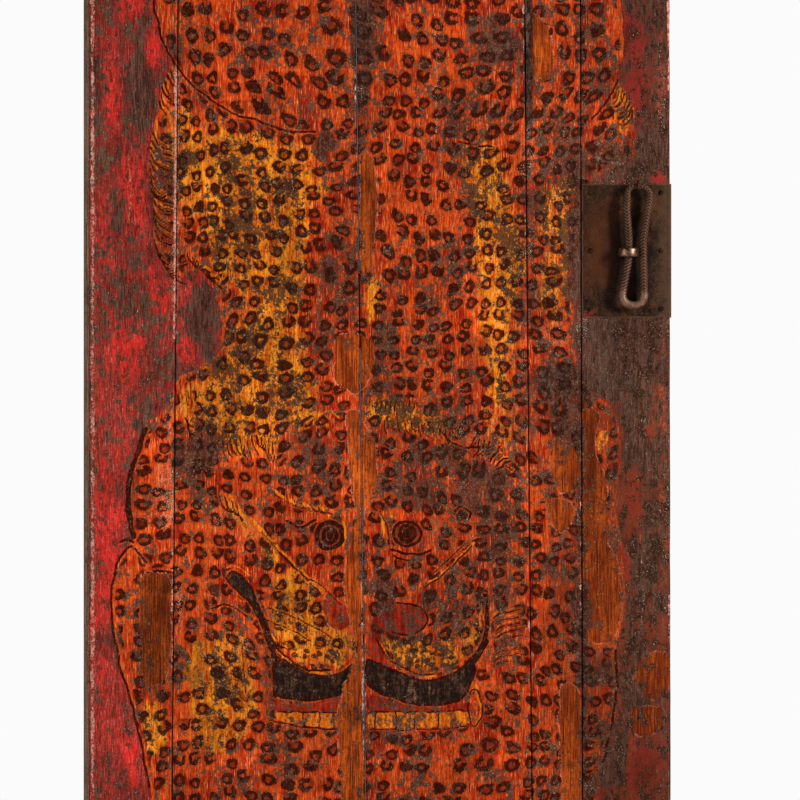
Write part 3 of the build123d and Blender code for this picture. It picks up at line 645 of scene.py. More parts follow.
def relief(x, z, left, right, shape, name):
    """How far the front is worn back at each place, in millimetres."""
    depth = 0.28 * rough_drift(x, z, 80, 260, 11, 2)
    depth += 0.07 * drift(x, z, 3.6, 55, 12) + 0.05 * drift(x, z, 2.2, 30, 13)
    depth += 0.18 * soft_step(shape["grime"], 0.42, 0.62) * (1 + 0.8 * drift(x, z, 4.5, 5.5, 14))
    depth += 0.35 * soft_step(shape["wood_mm"], -0.8, 1.2)
    depth += 0.10 * soft_step(shape["wood_mm"], 0, 2) * drift(x, z, 3.2, 40, 15)
    depth -= 0.10 * soft_step(-shape["ink_mm"], -0.6, 0.6)
    depth += patches(x, z, DENTS)
    rim = distance_to(flowing(CHIP, closed=True), x + 2 * drift(x, z, 14, 14, 16), z, 6)
    depth += 0.28 * soft_step(depth_in(CHIP, x, z, 6), 0, 1.5)
    depth -= 0.22 * (1 - soft_step(rim, 0.4, 1.8))
    worn = 0.35 + 0.5 * soft_step(rough_drift(x * 0.1, z, 4, 42, 17 + len(name), 3), -0.1, 0.8)
    depth += worn * (np.exp(-left / 2.2) + np.exp(-right / 2.2))
    if name == "board_4":
        lost = soft_step(z, 1035, 1050) * (1 - soft_step(left, 5.0, 8.5))
        depth += 2.2 * lost * (1 + 0.3 * drift(x, z, 5, 60, 18))
        depth += 0.8 * soft_step(z, 1150, 1190) * (1 - soft_step(left, 7.0, 11.0))
    for place, top, bottom in CHECKS:
        line = place + 2.2 * drift(0 * z, z, 60, 70, 19) + 0.5 * drift(0 * z, z, 9, 12, 20)
        gape = soft_step(z, bottom - 25, bottom + 25) * (1 - soft_step(z, top - 25, top + 25))
        depth += 0.9 * gape * np.exp(-((x - line) / 0.9) ** 2)
    return depth


def mesh_from(form, name):
    """A Blender object from a finished bmesh."""
    mesh = bpy.data.meshes.new(name)
    form.to_mesh(mesh)
    form.free()
    piece = bpy.data.objects.new(name, mesh)
    bpy.context.scene.collection.objects.link(piece)
    return piece


def places_of(mesh):
    """The places of a mesh's vertices, as rows of X, Y and Z."""
    flat = np.empty(len(mesh.vertices) * 3)
    mesh.vertices.foreach_get("co", flat)
    return flat.reshape(-1, 3)


def place_at(piece, x, y, z):
    """Puts each vertex of a piece at its place, given in millimetres."""
    piece.data.vertices.foreach_set("co", (np.column_stack([x, y, z]) * MM).ravel())


def write_field(piece, name, values):
    """A number for each vertex of a piece, which its material reads."""
    field = piece.data.attributes.new(name, "FLOAT", "POINT")
    field.data.foreach_set("value", values.astype(np.float32))


def numbered_grid(name, columns, rows):
    """A flat grid of so many columns and rows, with the column and the row of each vertex."""
    form = bmesh.new()
    bmesh.ops.create_grid(form, x_segments=columns, y_segments=rows, size=1)
    grid = mesh_from(form, name)
    unit = places_of(grid.data)
    column = np.rint((unit[:, 0] + 1) / 2 * columns).astype(int)
    row = np.rint((unit[:, 1] + 1) / 2 * rows).astype(int)
    return grid, column, row


def close_rims(form):
    """Fills each open rim of a form, and gives the new faces."""
    rims = [edge for edge in form.edges if edge.is_boundary]
    return bmesh.ops.holes_fill(form, edges=rims, sides=0)["faces"]


def merged_copy(node):
    """A welded copy of a CAD node's mesh, as a bmesh."""
    form = bmesh.new()
    form.from_mesh(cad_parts[node].data)
    bmesh.ops.remove_doubles(form, verts=form.verts, dist=0.00002)
    return form


def keep_side(form, point, direction):
    """Cuts a closed form by a plane, keeps what lies along the direction, and closes the cut."""
    whole = form.verts[:] + form.edges[:] + form.faces[:]
    cut = bmesh.ops.bisect_plane(
        form, geom=whole, dist=1e-6, plane_co=point, plane_no=direction, clear_inner=True
    )["geom_cut"]
    rim = [item for item in cut if isinstance(item, bmesh.types.BMEdge)]
    if rim:
        bmesh.ops.triangle_fill(form, use_beauty=False, use_dissolve=False, edges=rim)
    bmesh.ops.recalc_face_normals(form, faces=form.faces)


def soften(piece, angle=38):
    """Smooth shading, with sharp edges kept crisp and broad faces square to an axis kept flat."""
    piece.data.shade_smooth()
    piece.data.set_sharp_from_angle(angle=math.radians(angle))
    for face in piece.data.polygons:
        if face.area > 30 * MM**2 and max(abs(share) for share in face.normal) > 0.9999:
            face.use_smooth = False


def board_walls(node):
    """The left and right walls of a board at its foot and at its head, in millimetres."""
    places = places_of(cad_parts[node].data) / MM
    walls = []
    for level in (0.0, LEAF_HEIGHT):
        between_arrises = abs(places[:, 1]) < 0.3 - FRONT - ARRIS
        at_end = places[(abs(places[:, 2] - level) < 0.3) & between_arrises]
        walls.append((at_end[:, 0].min(), at_end[:, 0].max()))
    (left_low, right_low), (left_high, right_high) = walls
    if node == "pivot_board":
        left_low = left_high = -math.sqrt(HINGE_EDGE_RADIUS**2 - SLAB_BACK**2)
    return left_low, right_low, left_high, right_high


def edge_profile(node):
    """How a board's front turns down to its left and right walls: steps across, and places in Y."""
    right = [
        (ARRIS * (1 - math.cos(math.radians(a))), FRONT + ARRIS * (1 - math.sin(math.radians(a))))
        for a in (0, 30, 60, 90)
    ]
    right = [(0.0, SLAB_BACK)] + right
    if node != "pivot_board":
        return right, right
    first = math.asin(-SLAB_BACK / HINGE_EDGE_RADIUS)
    last = math.asin(-FRONT / HINGE_EDGE_RADIUS)
    start = -HINGE_EDGE_RADIUS * math.cos(first)
    turn = [first + (last - first) * share / 5 for share in range(6)]
    left = [(-HINGE_EDGE_RADIUS * math.cos(a) - start, -HINGE_EDGE_RADIUS * math.sin(a)) for a in turn]
    return left + [(left[-1][0] + 1.0, FRONT)], right


def front_rows():
    """Heights of the rows of a board's front, fine where the painting is seen."""
    return np.concatenate([
        np.linspace(0, SEEN_BOTTOM, int(SEEN_BOTTOM / COARSE_ROW), endpoint=False),
        np.linspace(SEEN_BOTTOM, SEEN_TOP, int((SEEN_TOP - SEEN_BOTTOM) / FINE_ROW), endpoint=False),
        np.linspace(SEEN_TOP, LEAF_HEIGHT, int((LEAF_HEIGHT - SEEN_TOP) / COARSE_ROW)),
    ])


def make_front(node):
    """The painted, worn front of a board as a closed fine skin, and the names of its fields."""
    left_low, right_low, left_high, right_high = board_walls(node)
    left_turn, right_turn = edge_profile(node)
    widest = max(right_low - left_low, right_high - left_high)
    flat_left, flat_right = left_turn[-1][0], right_turn[-1][0]
    inner = int(math.ceil((widest - flat_left - flat_right) / FINE[node]))
    columns = len(left_turn) + len(right_turn) + inner - 2
    rows_z = front_rows()
    rows = len(rows_z) + 1
    skin, column, row = numbered_grid(node + "_skin", columns, rows)

    z = rows_z[np.clip(row - 1, 0, len(rows_z) - 1)]
    up = z / LEAF_HEIGHT
    wall_left = left_low + (left_high - left_low) * up
    width = right_low + (right_high - right_low) * up - wall_left
    from_left = np.array([step for step, _ in left_turn])
    from_right = np.array([step for step, _ in right_turn])[::-1]
    turn_y = np.concatenate([
        [y for _, y in left_turn], np.full(inner - 1, FRONT), [y for _, y in right_turn[::-1]]
    ])
    share = (column - (len(from_left) - 1)) / inner
    across = flat_left + share * (width - flat_left - flat_right)
    at_left = column < len(from_left)
    across[at_left] = from_left[column[at_left]]
    last_turn = column - (columns + 1 - len(from_right))
    at_right = last_turn >= 0
    across[at_right] = width[at_right] - from_right[last_turn[at_right]]
    x, y = wall_left + across, turn_y[column]

    # The wear fades out down the side walls, and the skin's rim stays where the back half begins
    shape = painted(x, z)
    left, right = across, width - across
    u, v, count, muzzle = spot_places(x, z, shape)
    y = y + relief(x, z, left, right, shape, node) * soft_step(-y, 14.5, 18.0)
    most_proud, least_thick = 0.6, 0.2
    y = np.clip(y, FRONT - most_proud, SLAB_BACK - least_thick)
    rim = (row == 0) | (row == rows) | (column == 0) | (column == columns)
    y[rim] = SLAB_BACK
    if node == "pull_board":
        x = x + np.where((right < 0.01) & ~rim, 0.35 * rough_drift(0 * z, z, 10, 60, 21), 0)
    place_at(skin, x, y, z)

    shape["pale_edge"] = wear_lines(x, z, left, right, node)
    shape["spot_u"], shape["spot_v"] = u, v
    shape["spot_count"], shape["muzzle"] = count, muzzle
    shape["edge_mm"] = np.minimum(left, right) if node != "pivot_board" else right
    for name, values in shape.items():
        write_field(skin, name, values)

    form = bmesh.new()
    form.from_mesh(skin.data)
    bpy.data.objects.remove(skin)
    bmesh.ops.triangulate(form, faces=close_rims(form), ngon_method="BEAUTY")
    bmesh.ops.recalc_face_normals(form, faces=form.faces)
    return mesh_from(form, node + "_front"), list(shape)


def make_board(node):
    """A board: its painted front as a fine skin on the back half of the solid."""
    front, fields = make_front(node)
    parts = [front]
    back = merged_copy(node)
    keep_side(back, (0, SLAB_BACK * MM, 0), (0, 1, 0))
    if node == "pivot_board":
        # The pins are kept whole, though the board is cut at its front, and start just inside it
        for level, direction in ((0.0, -1), (LEAF_HEIGHT, 1)):
            keep_side(back, (0, 0, (level + 0.02 * direction) * MM), (0, 0, -direction))
            pin = merged_copy(node)
            keep_side(pin, (0, 0, (level + 0.01 * direction) * MM), (0, 0, direction))
            parts.append(mesh_from(pin, node + "_pin"))
    parts.append(mesh_from(back, node + "_back"))
    for part in parts[1:]:
        for name in fields:
            elsewhere = BRUSH_REACH if name.endswith("_mm") else 0.0
            unpainted = {"pelt_mm": -30.0, "wood_mm": -30.0}.get(name, elsewhere)
            write_field(part, name, np.full(len(part.data.vertices), unpainted))
    board = join(parts, node + "_painted")
    soften(board)
    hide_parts(node)
    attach(board, "leaf")
    return board


def join(parts, name):
    """Several pieces made one."""
    first = parts[0]
    with bpy.context.temp_override(
        active_object=first, object=first, selected_objects=parts, selected_editable_objects=parts
    ):
        bpy.ops.object.join()
    first.name = first.data.name = name
    return first


class Wire:
    """One output in a material. Arithmetic on it adds Math nodes."""

    def __init__(self, finish, socket):
        self.finish, self.socket = finish, socket

    def _math(self, operation, *terms):
        return self.finish.add("ShaderNodeMath", {"operation": operation}, dict(enumerate(terms)))

    def __add__(self, other):
        return self._math("ADD", self, other)

    def __radd__(self, other):
        return self._math("ADD", other, self)

    def __sub__(self, other):
        return self._math("SUBTRACT", self, other)

    def __rsub__(self, other):
        return self._math("SUBTRACT", other, self)

    def __mul__(self, other):
        return self._math("MULTIPLY", self, other)

    def __rmul__(self, other):
        return self._math("MULTIPLY", other, self)

    def __neg__(self):
        return self._math("MULTIPLY", self, -1.0)

    def __abs__(self):
        return self._math("ABSOLUTE", self)

    def below(self, other):
        return self._math("MINIMUM", self, other)

    def power(self, other):
        return self._math("POWER", self, other)

    def cosine(self):
        return self._math("COSINE", self)


class Finish:
    """A material being built: its nodes, and the shader that they feed. Colours are screen values."""

    def __init__(self, name, **fixed):
        self.material = bpy.data.materials.new(name)
        self.material.use_nodes = True
        self.nodes = self.material.node_tree.nodes
        self.links = self.material.node_tree.links
        self.shader = self.nodes["Principled BSDF"]
        for socket, value in fixed.items():
            self.shader.inputs[socket.replace("_", " ")].default_value = value
        place = self.nodes.new("ShaderNodeTexCoord")
        self.place = Wire(self, place.outputs["Object"])

    def add(self, kind, settings, sockets, output=0):
        """A node of a type, with its settings set first, then its sockets' values or links."""
        node = self.nodes.new(kind)
        for name, value in settings.items():
            setattr(node, name, value)
        for name, value in sockets.items():
            if isinstance(value, Wire):
                self.links.new(value.socket, node.inputs[name])
            else:
                node.inputs[name].default_value = value
        if output is None:
            return node
        return Wire(self, node.outputs[output])

    def vector(self, operation, first, second):
        return self.add("ShaderNodeVectorMath", {"operation": operation}, {0: first, 1: second})

    def field(self, name):
        return self.add("ShaderNodeAttribute", {"attribute_name": name}, {}, "Fac")

    def mm(self, axis):
        """The place along one axis, in millimetres."""
        return self.add("ShaderNodeSeparateXYZ", {}, {0: self.place}, axis) * (1 / MM)

    def noise(self, across, deep, tall, detail=2.0, rough=0.5, lift=0.0, bend=0.0):
        """Noise from 0 to 1 in patches of so many millimetres; lift moves it to another part."""
        place = self.vector("MULTIPLY", self.place, (1 / across / MM, 1 / deep / MM, 1 / tall / MM))
        if lift:
            place = self.vector("ADD", place, (lift, lift * 0.7, lift * 1.3))
        sockets = {"Vector": place, "Scale": 1.0, "Detail": detail, "Roughness": rough}
        return self.add("ShaderNodeTexNoise", {}, {**sockets, "Distortion": bend})

    def step(self, value, low, high):
        """0 below low, 1 above high, and eased between."""
        sockets = {"Value": value, "From Min": low, "From Max": high}
        return self.add("ShaderNodeMapRange", {"interpolation_type": "SMOOTHSTEP"}, sockets)

    def blend(self, first, second, share):
        """Two colours mixed by a share."""
        sockets = {0: share, 6: first, 7: second}
        for socket in (6, 7):
            if isinstance(sockets[socket], tuple):
                sockets[socket] = tint(*sockets[socket])
        return self.add("ShaderNodeMix", {"data_type": "RGBA", "clamp_factor": True}, sockets, 2)

    def over(self, colour, *layers):
        """A colour with thin layers laid over it in turn, each a colour and its share."""
        for laid, share in layers:
            colour = self.blend(colour, laid, share)
        return colour

    def shade(self, colour, factor):
        """A colour made lighter or darker by a factor."""
        return self.add("ShaderNodeVectorMath", {"operation": "SCALE"}, {0: colour, "Scale": factor})

    def use(self, socket, wire):
        self.links.new(wire.socket, self.shader.inputs[socket])

    def bump(self, height_mm, strength):
        """Fine relief, from a height in millimetres."""
        sockets = {"Height": height_mm, "Strength": strength, "Distance": MM}
        self.use("Normal", self.add("ShaderNodeBump", {}, sockets, "Normal"))

    def on(self, *pieces):
        for piece in pieces:
            piece.data.materials.clear()
            piece.data.materials.append(self.material)


class Unevenness:
    """The scales of noise that every layer of a finish shares."""

    def __init__(self, **scales):
        self.scales = scales
        for name, noise in scales.items():
            setattr(self, name, noise)

    def mix(self, **shares):
        """Scales added up, each times its share."""
        terms = [self.scales[name] * share for name, share in shares.items()]
        return functools.reduce(operator.add, terms)

    def sway(self, **shares):
        """The same, swinging about 0, which makes an edge ragged."""
        return self.mix(**shares) - sum(shares.values()) * 0.5


def painted_ground(paint, n, rag):
    """Pelt and border as first painted; how yellow the pelt is, where it is, and how ambered."""
    brushed = n.mix(streak=0.45, patchy=0.35, wisp=0.20)
    drawn = paint.step(brushed + n.sway(broad=0.45), 0.38, 0.61)
    red_orange = paint.blend((150, 34, 12), (246, 98, 28), drawn)
    yellow = paint.blend((204, 86, 12), (255, 162, 34), paint.step(brushed, 0.38, 0.58))
    sunny = paint.step(paint.field("warmth") + n.sway(crisp=0.6, streak=1.0, patchy=0.9), 0.34, 0.80)
    pelt = paint.over(
        paint.blend(red_orange, yellow, sunny),
        ((104, 24, 8), (1 - paint.step(n.wisp, 0.36, 0.46)) * 0.36),
        ((255, 196, 130), paint.step(n.wisp, 0.56, 0.64) * 0.42),
    )

    greyed = paint.step(n.mix(patchy=0.6, broad=0.3, streak=0.1), 0.47, 0.58)
    lit = paint.field("red_glow") + n.sway(streak=1.0, patchy=1.7, crisp=0.8)
    smudged = paint.step(n.mix(patchy=0.75, crisp=0.25) + n.sway(broad=0.3), 0.53, 0.60)
    browned = paint.step(paint.mm("X") + n.sway(patchy=60), 580, 620)
    crusted = paint.step(n.mix(patchy=0.6, broad=0.4) + n.sway(crisp=0.2), 0.50, 0.58)
    border = paint.over(
        paint.blend((112, 47, 38), (186, 54, 45), paint.step(brushed, 0.40, 0.57)),
        ((116, 80, 70), greyed * 0.55),
        ((212, 50, 42), paint.step(lit, 0.66, 1.06) * 0.9),
        ((84, 54, 46), smudged * 0.7),
        ((66, 26, 20), (1 - paint.step(n.wisp, 0.38, 0.46)) * 0.45),
        ((236, 150, 130), paint.step(n.mix(wisp=0.6, fine=0.4), 0.54, 0.62) * 0.40),
        ((104, 68, 52), browned * 0.60),
        ((44, 28, 20), crusted * browned * 0.6),
        ((160, 36, 34), paint.step(lit, 0.42, 0.80) * browned * 0.5),
    )

    on_pelt = paint.step(paint.field("pelt_mm") + rag * 0.5, -0.5, 0.5)
    ambered = paint.step(paint.mm("X") + n.sway(patchy=90), 495, 560)
    ambered = ambered * (1 - paint.step(paint.mm("Z"), 700, 800))
    smoked = paint.step(n.mix(broad=0.6, patchy=0.4) + n.sway(crisp=0.2), 0.46, 0.66)
    worn = paint.field("chalk") * paint.step(n.mix(crisp=0.6, fine=0.4), 0.44, 0.58)
    colour = paint.over(
        paint.blend(border, pelt, on_pelt),
        ((128, 62, 30), ambered * 0.42),
        ((76, 34, 20), smoked * 0.62),
        ((226, 128, 92), worn * 0.7),
    )
    return colour, sunny, on_pelt, ambered


def rosettes(paint, n, sunny):
    """Rosettes by cell: their brushed rings, their centres, and the shade round them."""
    u = paint.field("spot_u") + n.sway(crisp=0.34, fine=0.12)
    v = paint.field("spot_v") + n.sway(patchy=0.40, fine=0.14)
    spot = paint.add("ShaderNodeCombineXYZ", {}, {0: u, 1: v})
    flat = {"voronoi_dimensions": "2D"}
    sockets = {"Vector": spot, "Scale": 1.0, "Randomness": 0.55}
    cells = paint.add("ShaderNodeTexVoronoi", flat, sockets, None)
    rim = paint.add("ShaderNodeTexVoronoi", {**flat, "feature": "DISTANCE_TO_EDGE"}, sockets, "Distance")
    chance = paint.add("ShaderNodeSeparateColor", {}, {0: Wire(paint, cells.outputs["Color"])}, None)
    turn, size, kind = (Wire(paint, chance.outputs[number]) for number in range(3))
    offset = paint.vector("SUBTRACT", spot, Wire(paint, cells.outputs["Position"]))
    split = paint.add("ShaderNodeSeparateXYZ", {}, {0: offset}, None)
    across, up = Wire(paint, split.outputs[0]), Wire(paint, split.outputs[1])

    def away_from(centre_u, centre_v):
        return ((across - centre_u).power(2.0) + (up - centre_v).power(2.0)).power(0.5)

    angle = paint.add("ShaderNodeMath", {"operation": "ARCTAN2"}, {0: up, 1: across})
    facing = (angle - ((turn - 0.5) * 3.4 + 1.57)).cosine()
    three_sided = facing * (facing * facing * 4 - 3)
    swell = facing * 0.10 + three_sided * (0.05 + kind * 0.06)
    outer = (0.318 + size * 0.075) - away_from(0.0, 0.0) * (1 - swell)
    inside = outer.below(rim * 1.05 - 0.04)
    hole_u, hole_v = (kind - 0.5) * 0.12, (size - 0.5) * 0.10 - 0.01
    hollow = (0.112 + turn * 0.05 + sunny * 0.01) - away_from(hole_u, hole_v) * (1 - swell * 1.2)
    blot = paint.step(inside, -0.016, 0.016)
    hole = paint.step(hollow + n.sway(fine=0.08), -0.016, 0.016) * (1 - paint.step(kind, 0.86, 0.88))
    opening = paint.step(facing, 0.86, 0.93) * paint.step(size, 0.66, 0.68)
    opening = opening * paint.step(-inside, -0.24, -0.2)
    muzzle = paint.field("muzzle")
    here = paint.field("spot_count") * (1 - muzzle) * paint.step(paint.field("pelt_mm"), 1.0, 2.0)
    here = here * (1 - paint.step(turn, 0.92, 0.93))
    small_sockets = {"Vector": spot, "Scale": 1.9, "Randomness": 0.8}
    small = paint.add("ShaderNodeTexVoronoi", flat, small_sockets, "Distance")
    return SimpleNamespace(
        ring=blot * (1 - hole) * (1 - opening * 0.9) * here,
        centre=blot * hole * here,
        shade=paint.step(inside, -0.17, 0.02) * here,
        dots=(1 - paint.step(small + n.sway(fine=0.2), 0.27, 0.32)) * muzzle,
        turn=turn,
    )


def brush_drawing(paint, n, rag, thin, dark, colour):
    """The crimson, yellow and dark brushwork of the face and fringe, and where its lines are."""
    brushed = n.mix(streak=0.5, patchy=0.5)
    crimson = paint.blend((104, 24, 12), (190, 50, 26), paint.step(brushed, 0.38, 0.62))
    crimson_share = (1 - paint.step(paint.field("crimson_mm") + rag * 0.9, -0.8, 0.8)) * 0.85
    gilt = paint.blend((190, 88, 14), (250, 150, 34), paint.step(n.mix(fine=0.4, streak=0.6), 0.4, 0.6))
    gold = 1 - paint.step(paint.field("gold_mm") + rag * 0.6, -0.5, 0.5)
    ink_mm = paint.field("ink_mm")
    line = 1 - paint.step(ink_mm + rag * 0.38, -0.4, 0.4)
    deep_ink = 1 - paint.step(ink_mm + rag * 0.4, -4.0, -1.6)
    rubbed_black = paint.step(n.mix(fine=0.2, crisp=0.4, streak=0.4), 0.46, 0.66)
    black = paint.blend((30, 23, 18), (84, 72, 60), rubbed_black)
    colour = paint.over(
        colour,
        (crimson, crimson_share),
        (gilt, gold * (0.90 - thin * 0.55)),
        (paint.blend(paint.shade(dark, 0.7), black, deep_ink), line * (0.98 - thin * 0.1)),
    )
    return colour, line


def bare_wood(paint, n, rag, sooty, ambered, colour):
    """Bare timber where the paint is gone, with a pale broken rim, and where it is."""
    wood_mm = paint.field("wood_mm") + rag * 0.8
    bare = paint.step(wood_mm, -0.4, 0.4)
    grained = paint.step(n.mix(grain=0.5, wisp=0.3, patchy=0.2) + n.sway(broad=0.3), 0.43, 0.57)
    timber = paint.over(
        paint.blend((120, 48, 13), (206, 98, 30), grained),
        ((60, 26, 10), (1 - paint.step(n.grain, 0.30, 0.42)) * 0.8),
        ((92, 42, 18), paint.step(n.patchy, 0.46, 0.62) * 0.6),
        ((50, 24, 13), sooty * 0.8),
        ((128, 50, 18), ambered * 0.2),
    )
    rim = paint.step(wood_mm, -2.2, -1.2) * (1 - paint.step(wood_mm, -0.5, 0.2))
    colour = paint.over(
        colour,
        (paint.shade(timber, 1 - ambered * 0.16), bare),
        ((222, 150, 122), rim * paint.step(n.mix(crisp=0.5, fine=0.5), 0.44, 0.58) * 0.7),
    )
    return colour, bare


def filth_colours(paint, n, spots, sunny, on_pelt):
    """The colour of the dirt: brown on the pelt, smeared and crusted on the border."""
    mottle = paint.step(n.mix(fine=0.35, crisp=0.35, patchy=0.15, streak=0.15), 0.44, 0.58)
    filth = paint.over(
        paint.blend((42, 27, 18), (112, 90, 76), mottle),
        ((118, 52, 26), paint.step(n.mix(patchy=0.5, streak=0.5), 0.50, 0.62) * 0.3),
        ((38, 18, 9), spots.ring * 0.66),
        ((44, 28, 17), sunny * 0.45),
        ((160, 132, 112), paint.step(n.fine, 0.62, 0.72) * 0.4),
    )
    smeared = paint.step(n.mix(wisp=0.45, streak=0.35, broad=0.2), 0.42, 0.58)
    crust = paint.step(n.mix(patchy=0.55, broad=0.3, crisp=0.15), 0.49, 0.54)
    crust = crust * paint.step(paint.mm("X") + n.sway(patchy=60), 590, 620)
    grit = paint.step(n.mix(fine=0.6, crisp=0.4) + crust * 0.03, 0.58, 0.65)
    smear = paint.over(
        paint.blend((54, 41, 33), (112, 90, 75), smeared),
        ((32, 21, 15), crust * 0.75),
        ((190, 150, 122), grit * 0.5),
    )
    return paint.blend(smear, filth, on_pelt)


def old_paint():
    """Worn tempera on a wooden leaf: pelt, rosettes, border, dirt and bare wood, with painted glints and
    painted uneven light.
    """
    paint = Finish("old_paint_on_wood", Specular_IOR_Level=0.05)
    n = Unevenness(
        fine=paint.noise(1.5, 1.5, 2.0, 3, 0.62),
        crisp=paint.noise(4.4, 4.4, 5.6, 4, 0.64, lift=3.0),
        patchy=paint.noise(12, 12, 16, 4, 0.62, lift=5.0),
        broad=paint.noise(42, 42, 64, 4, 0.58, lift=7.0),
        grain=paint.noise(1.3, 3.0, 48, 4, 0.65, lift=11.0, bend=0.6),
        streak=paint.noise(3.4, 3.4, 34, 4, 0.66, lift=17.0),
        wisp=paint.noise(1.0, 1.0, 14, 3, 0.62, lift=23.0),
    )
    rag = n.sway(fine=1.8, crisp=2.4)
    colour, sunny, on_pelt, ambered = painted_ground(paint, n, rag)

    # Rosettes and soot on the ground, then the drawing, then the wood that shows through
    spots = rosettes(paint, n, sunny)
    dark = paint.blend((52, 14, 3), (90, 34, 12), paint.step(n.mix(fine=0.5, crisp=0.5), 0.40, 0.62))
    thin = paint.step(n.patchy + n.sway(crisp=0.9), 0.50, 0.72)
    blushing = paint.step(spots.turn + n.sway(crisp=1.0), 0.3, 0.7)
    sooty = paint.field("soot") * (0.55 + paint.step(n.mix(streak=0.5, crisp=0.5), 0.42, 0.58) * 0.45)
    soot = paint.blend((38, 23, 15), (84, 76, 74), paint.step(n.mix(crisp=0.6, wisp=0.4), 0.46, 0.64))
    colour = paint.over(
        colour,
        ((112, 34, 14), spots.shade * (0.40 + thin * 0.2)),
        ((124, 36, 14), spots.centre * blushing * 0.6),
        (dark, spots.ring * (0.98 - thin * 0.16)),
        (dark, spots.dots * 0.9),
        (soot, sooty * 0.85),
    )
    colour, line = brush_drawing(paint, n, rag, thin, dark, colour)
    colour, bare = bare_wood(paint, n, rag, sooty, ambered, colour)

    # Dirt over all of it, with dark specks, and pale specks that are painted glints of the varnish
    light_and_varnish, edge_mm = paint.field("light_and_varnish"), paint.field("edge_mm")
    near_edge = 1 - paint.step(edge_mm, 1.5, 13.0)
    soil = paint.field("grime") + n.sway(
        crisp=0.9 + on_pelt * 0.3, patchy=1.4, fine=0.3 + on_pelt * 0.25, streak=0.6 - on_pelt * 0.4
    )
    soil = soil + near_edge * 0.06 - light_and_varnish * 0.10 - bare * 0.16 - line * 0.16
    dirty = paint.step(soil, 0.47, 0.53)
    filth = filth_colours(paint, n, spots, sunny, on_pelt)
    colour = paint.blend(colour, filth, dirty * (0.84 + thin * 0.14))
    # Painted uneven light and uneven old varnish: the colour lighter or darker by patches
    colour = paint.shade(colour, 1 + light_and_varnish * 0.28 + light_and_varnish * light_and_varnish * 0.08)
    pepper = paint.noise(2.1, 2.1, 2.8, 3, 0.7, lift=41.0)
    speck = 1 - paint.step(pepper + n.sway(patchy=0.5), 0.34, 0.43)
    # Painted highlights: pale glints standing in for light caught on the varnish
    glint = paint.step(pepper + n.sway(crisp=0.4), 0.61, 0.69)
    glint = glint * paint.step(n.mix(patchy=0.6, broad=0.4), 0.47, 0.56)
    colour = paint.over(
        colour,
        ((72, 30, 15), paint.step(soil, 0.30, 0.50) * 0.25),
        ((36, 16, 8), speck * (0.30 + dirty * 0.2 + sunny * 0.30)),
        ((255, 190, 130), glint * (0.30 + sunny * 0.2) * (0.35 + on_pelt * 0.65)),
    )

    # Rubbed edges, flaked chalk ground, and pale flecks that are painted glints of the varnish
    scuffed = paint.step(paint.field("pale_edge") + n.sway(wisp=0.8, fine=0.9, crisp=0.9), 0.36, 0.70)
    pale = paint.blend((150, 86, 74), (222, 166, 148), paint.step(n.mix(fine=0.5, crisp=0.5), 0.42, 0.58))
    flaked = paint.field("chalk")
    chips = paint.step(flaked * 0.29 + n.sway(crisp=0.9, fine=0.9), 0.40, 0.50)
    chalk = paint.blend((190, 116, 96), (236, 190, 164), paint.step(n.fine, 0.42, 0.66))
    # Painted highlights: tiny pale flecks standing in for light caught on the varnish
    sparkle_noise = paint.noise(0.9, 0.9, 1.2, 2, 0.5, lift=31.0) + near_edge * 0.035 + flaked * 0.06
    painted_sparkle = paint.step(sparkle_noise + n.sway(broad=0.20), 0.71, 0.74)
    painted_sparkle = painted_sparkle * paint.step(n.patchy + flaked * 0.1, 0.50, 0.60)
    colour = paint.over(
        colour,
        (pale, scuffed * 0.88),
        (paint.blend(chalk, (236, 164, 84), on_pelt * 0.5), chips * 0.75),
        (paint.blend((244, 212, 184), (250, 190, 90), sunny), painted_sparkle * 0.85),
    )

    # Unpainted wood at the back and sides, and dark joints
    on_front = paint.step(-paint.mm("Y") + rag * 0.25, 16.6, 17.6)
    on_front = on_front * paint.step(paint.field("wood_mm"), -20.0, -15.0)
    side_wood = paint.over(
        paint.blend((98, 76, 62), (166, 134, 114), paint.step(n.grain + n.sway(fine=0.6), 0.34, 0.66)),
        ((66, 50, 42), paint.step(n.mix(crisp=0.5, broad=0.5), 0.5, 0.64) * 0.6),
        ((44, 24, 15), sooty),
    )
    at_edge = (1 - paint.step(edge_mm + n.sway(crisp=2.0), 0.2, 1.3)) * (1 - scuffed)
    colour = paint.blend(paint.blend(side_wood, colour, on_front), (24, 14, 9), at_edge * 0.75)
    paint.use("Base Color", paint.add("ShaderNodeGamma", {}, {0: colour, 1: VARNISH_DEPTH}))

    roughness = 0.40 + dirty * 0.12 + bare * 0.08 + n.sway(fine=0.3)
    paint.use("Roughness", 0.72 + on_front * (roughness - 0.72))
    height = n.sway(grain=0.22, fine=0.30, crisp=0.50)
    paint.bump(height - paint.step(paint.field("wood_mm"), -0.6, 0.6) * 0.12, 1.0)
    return paint


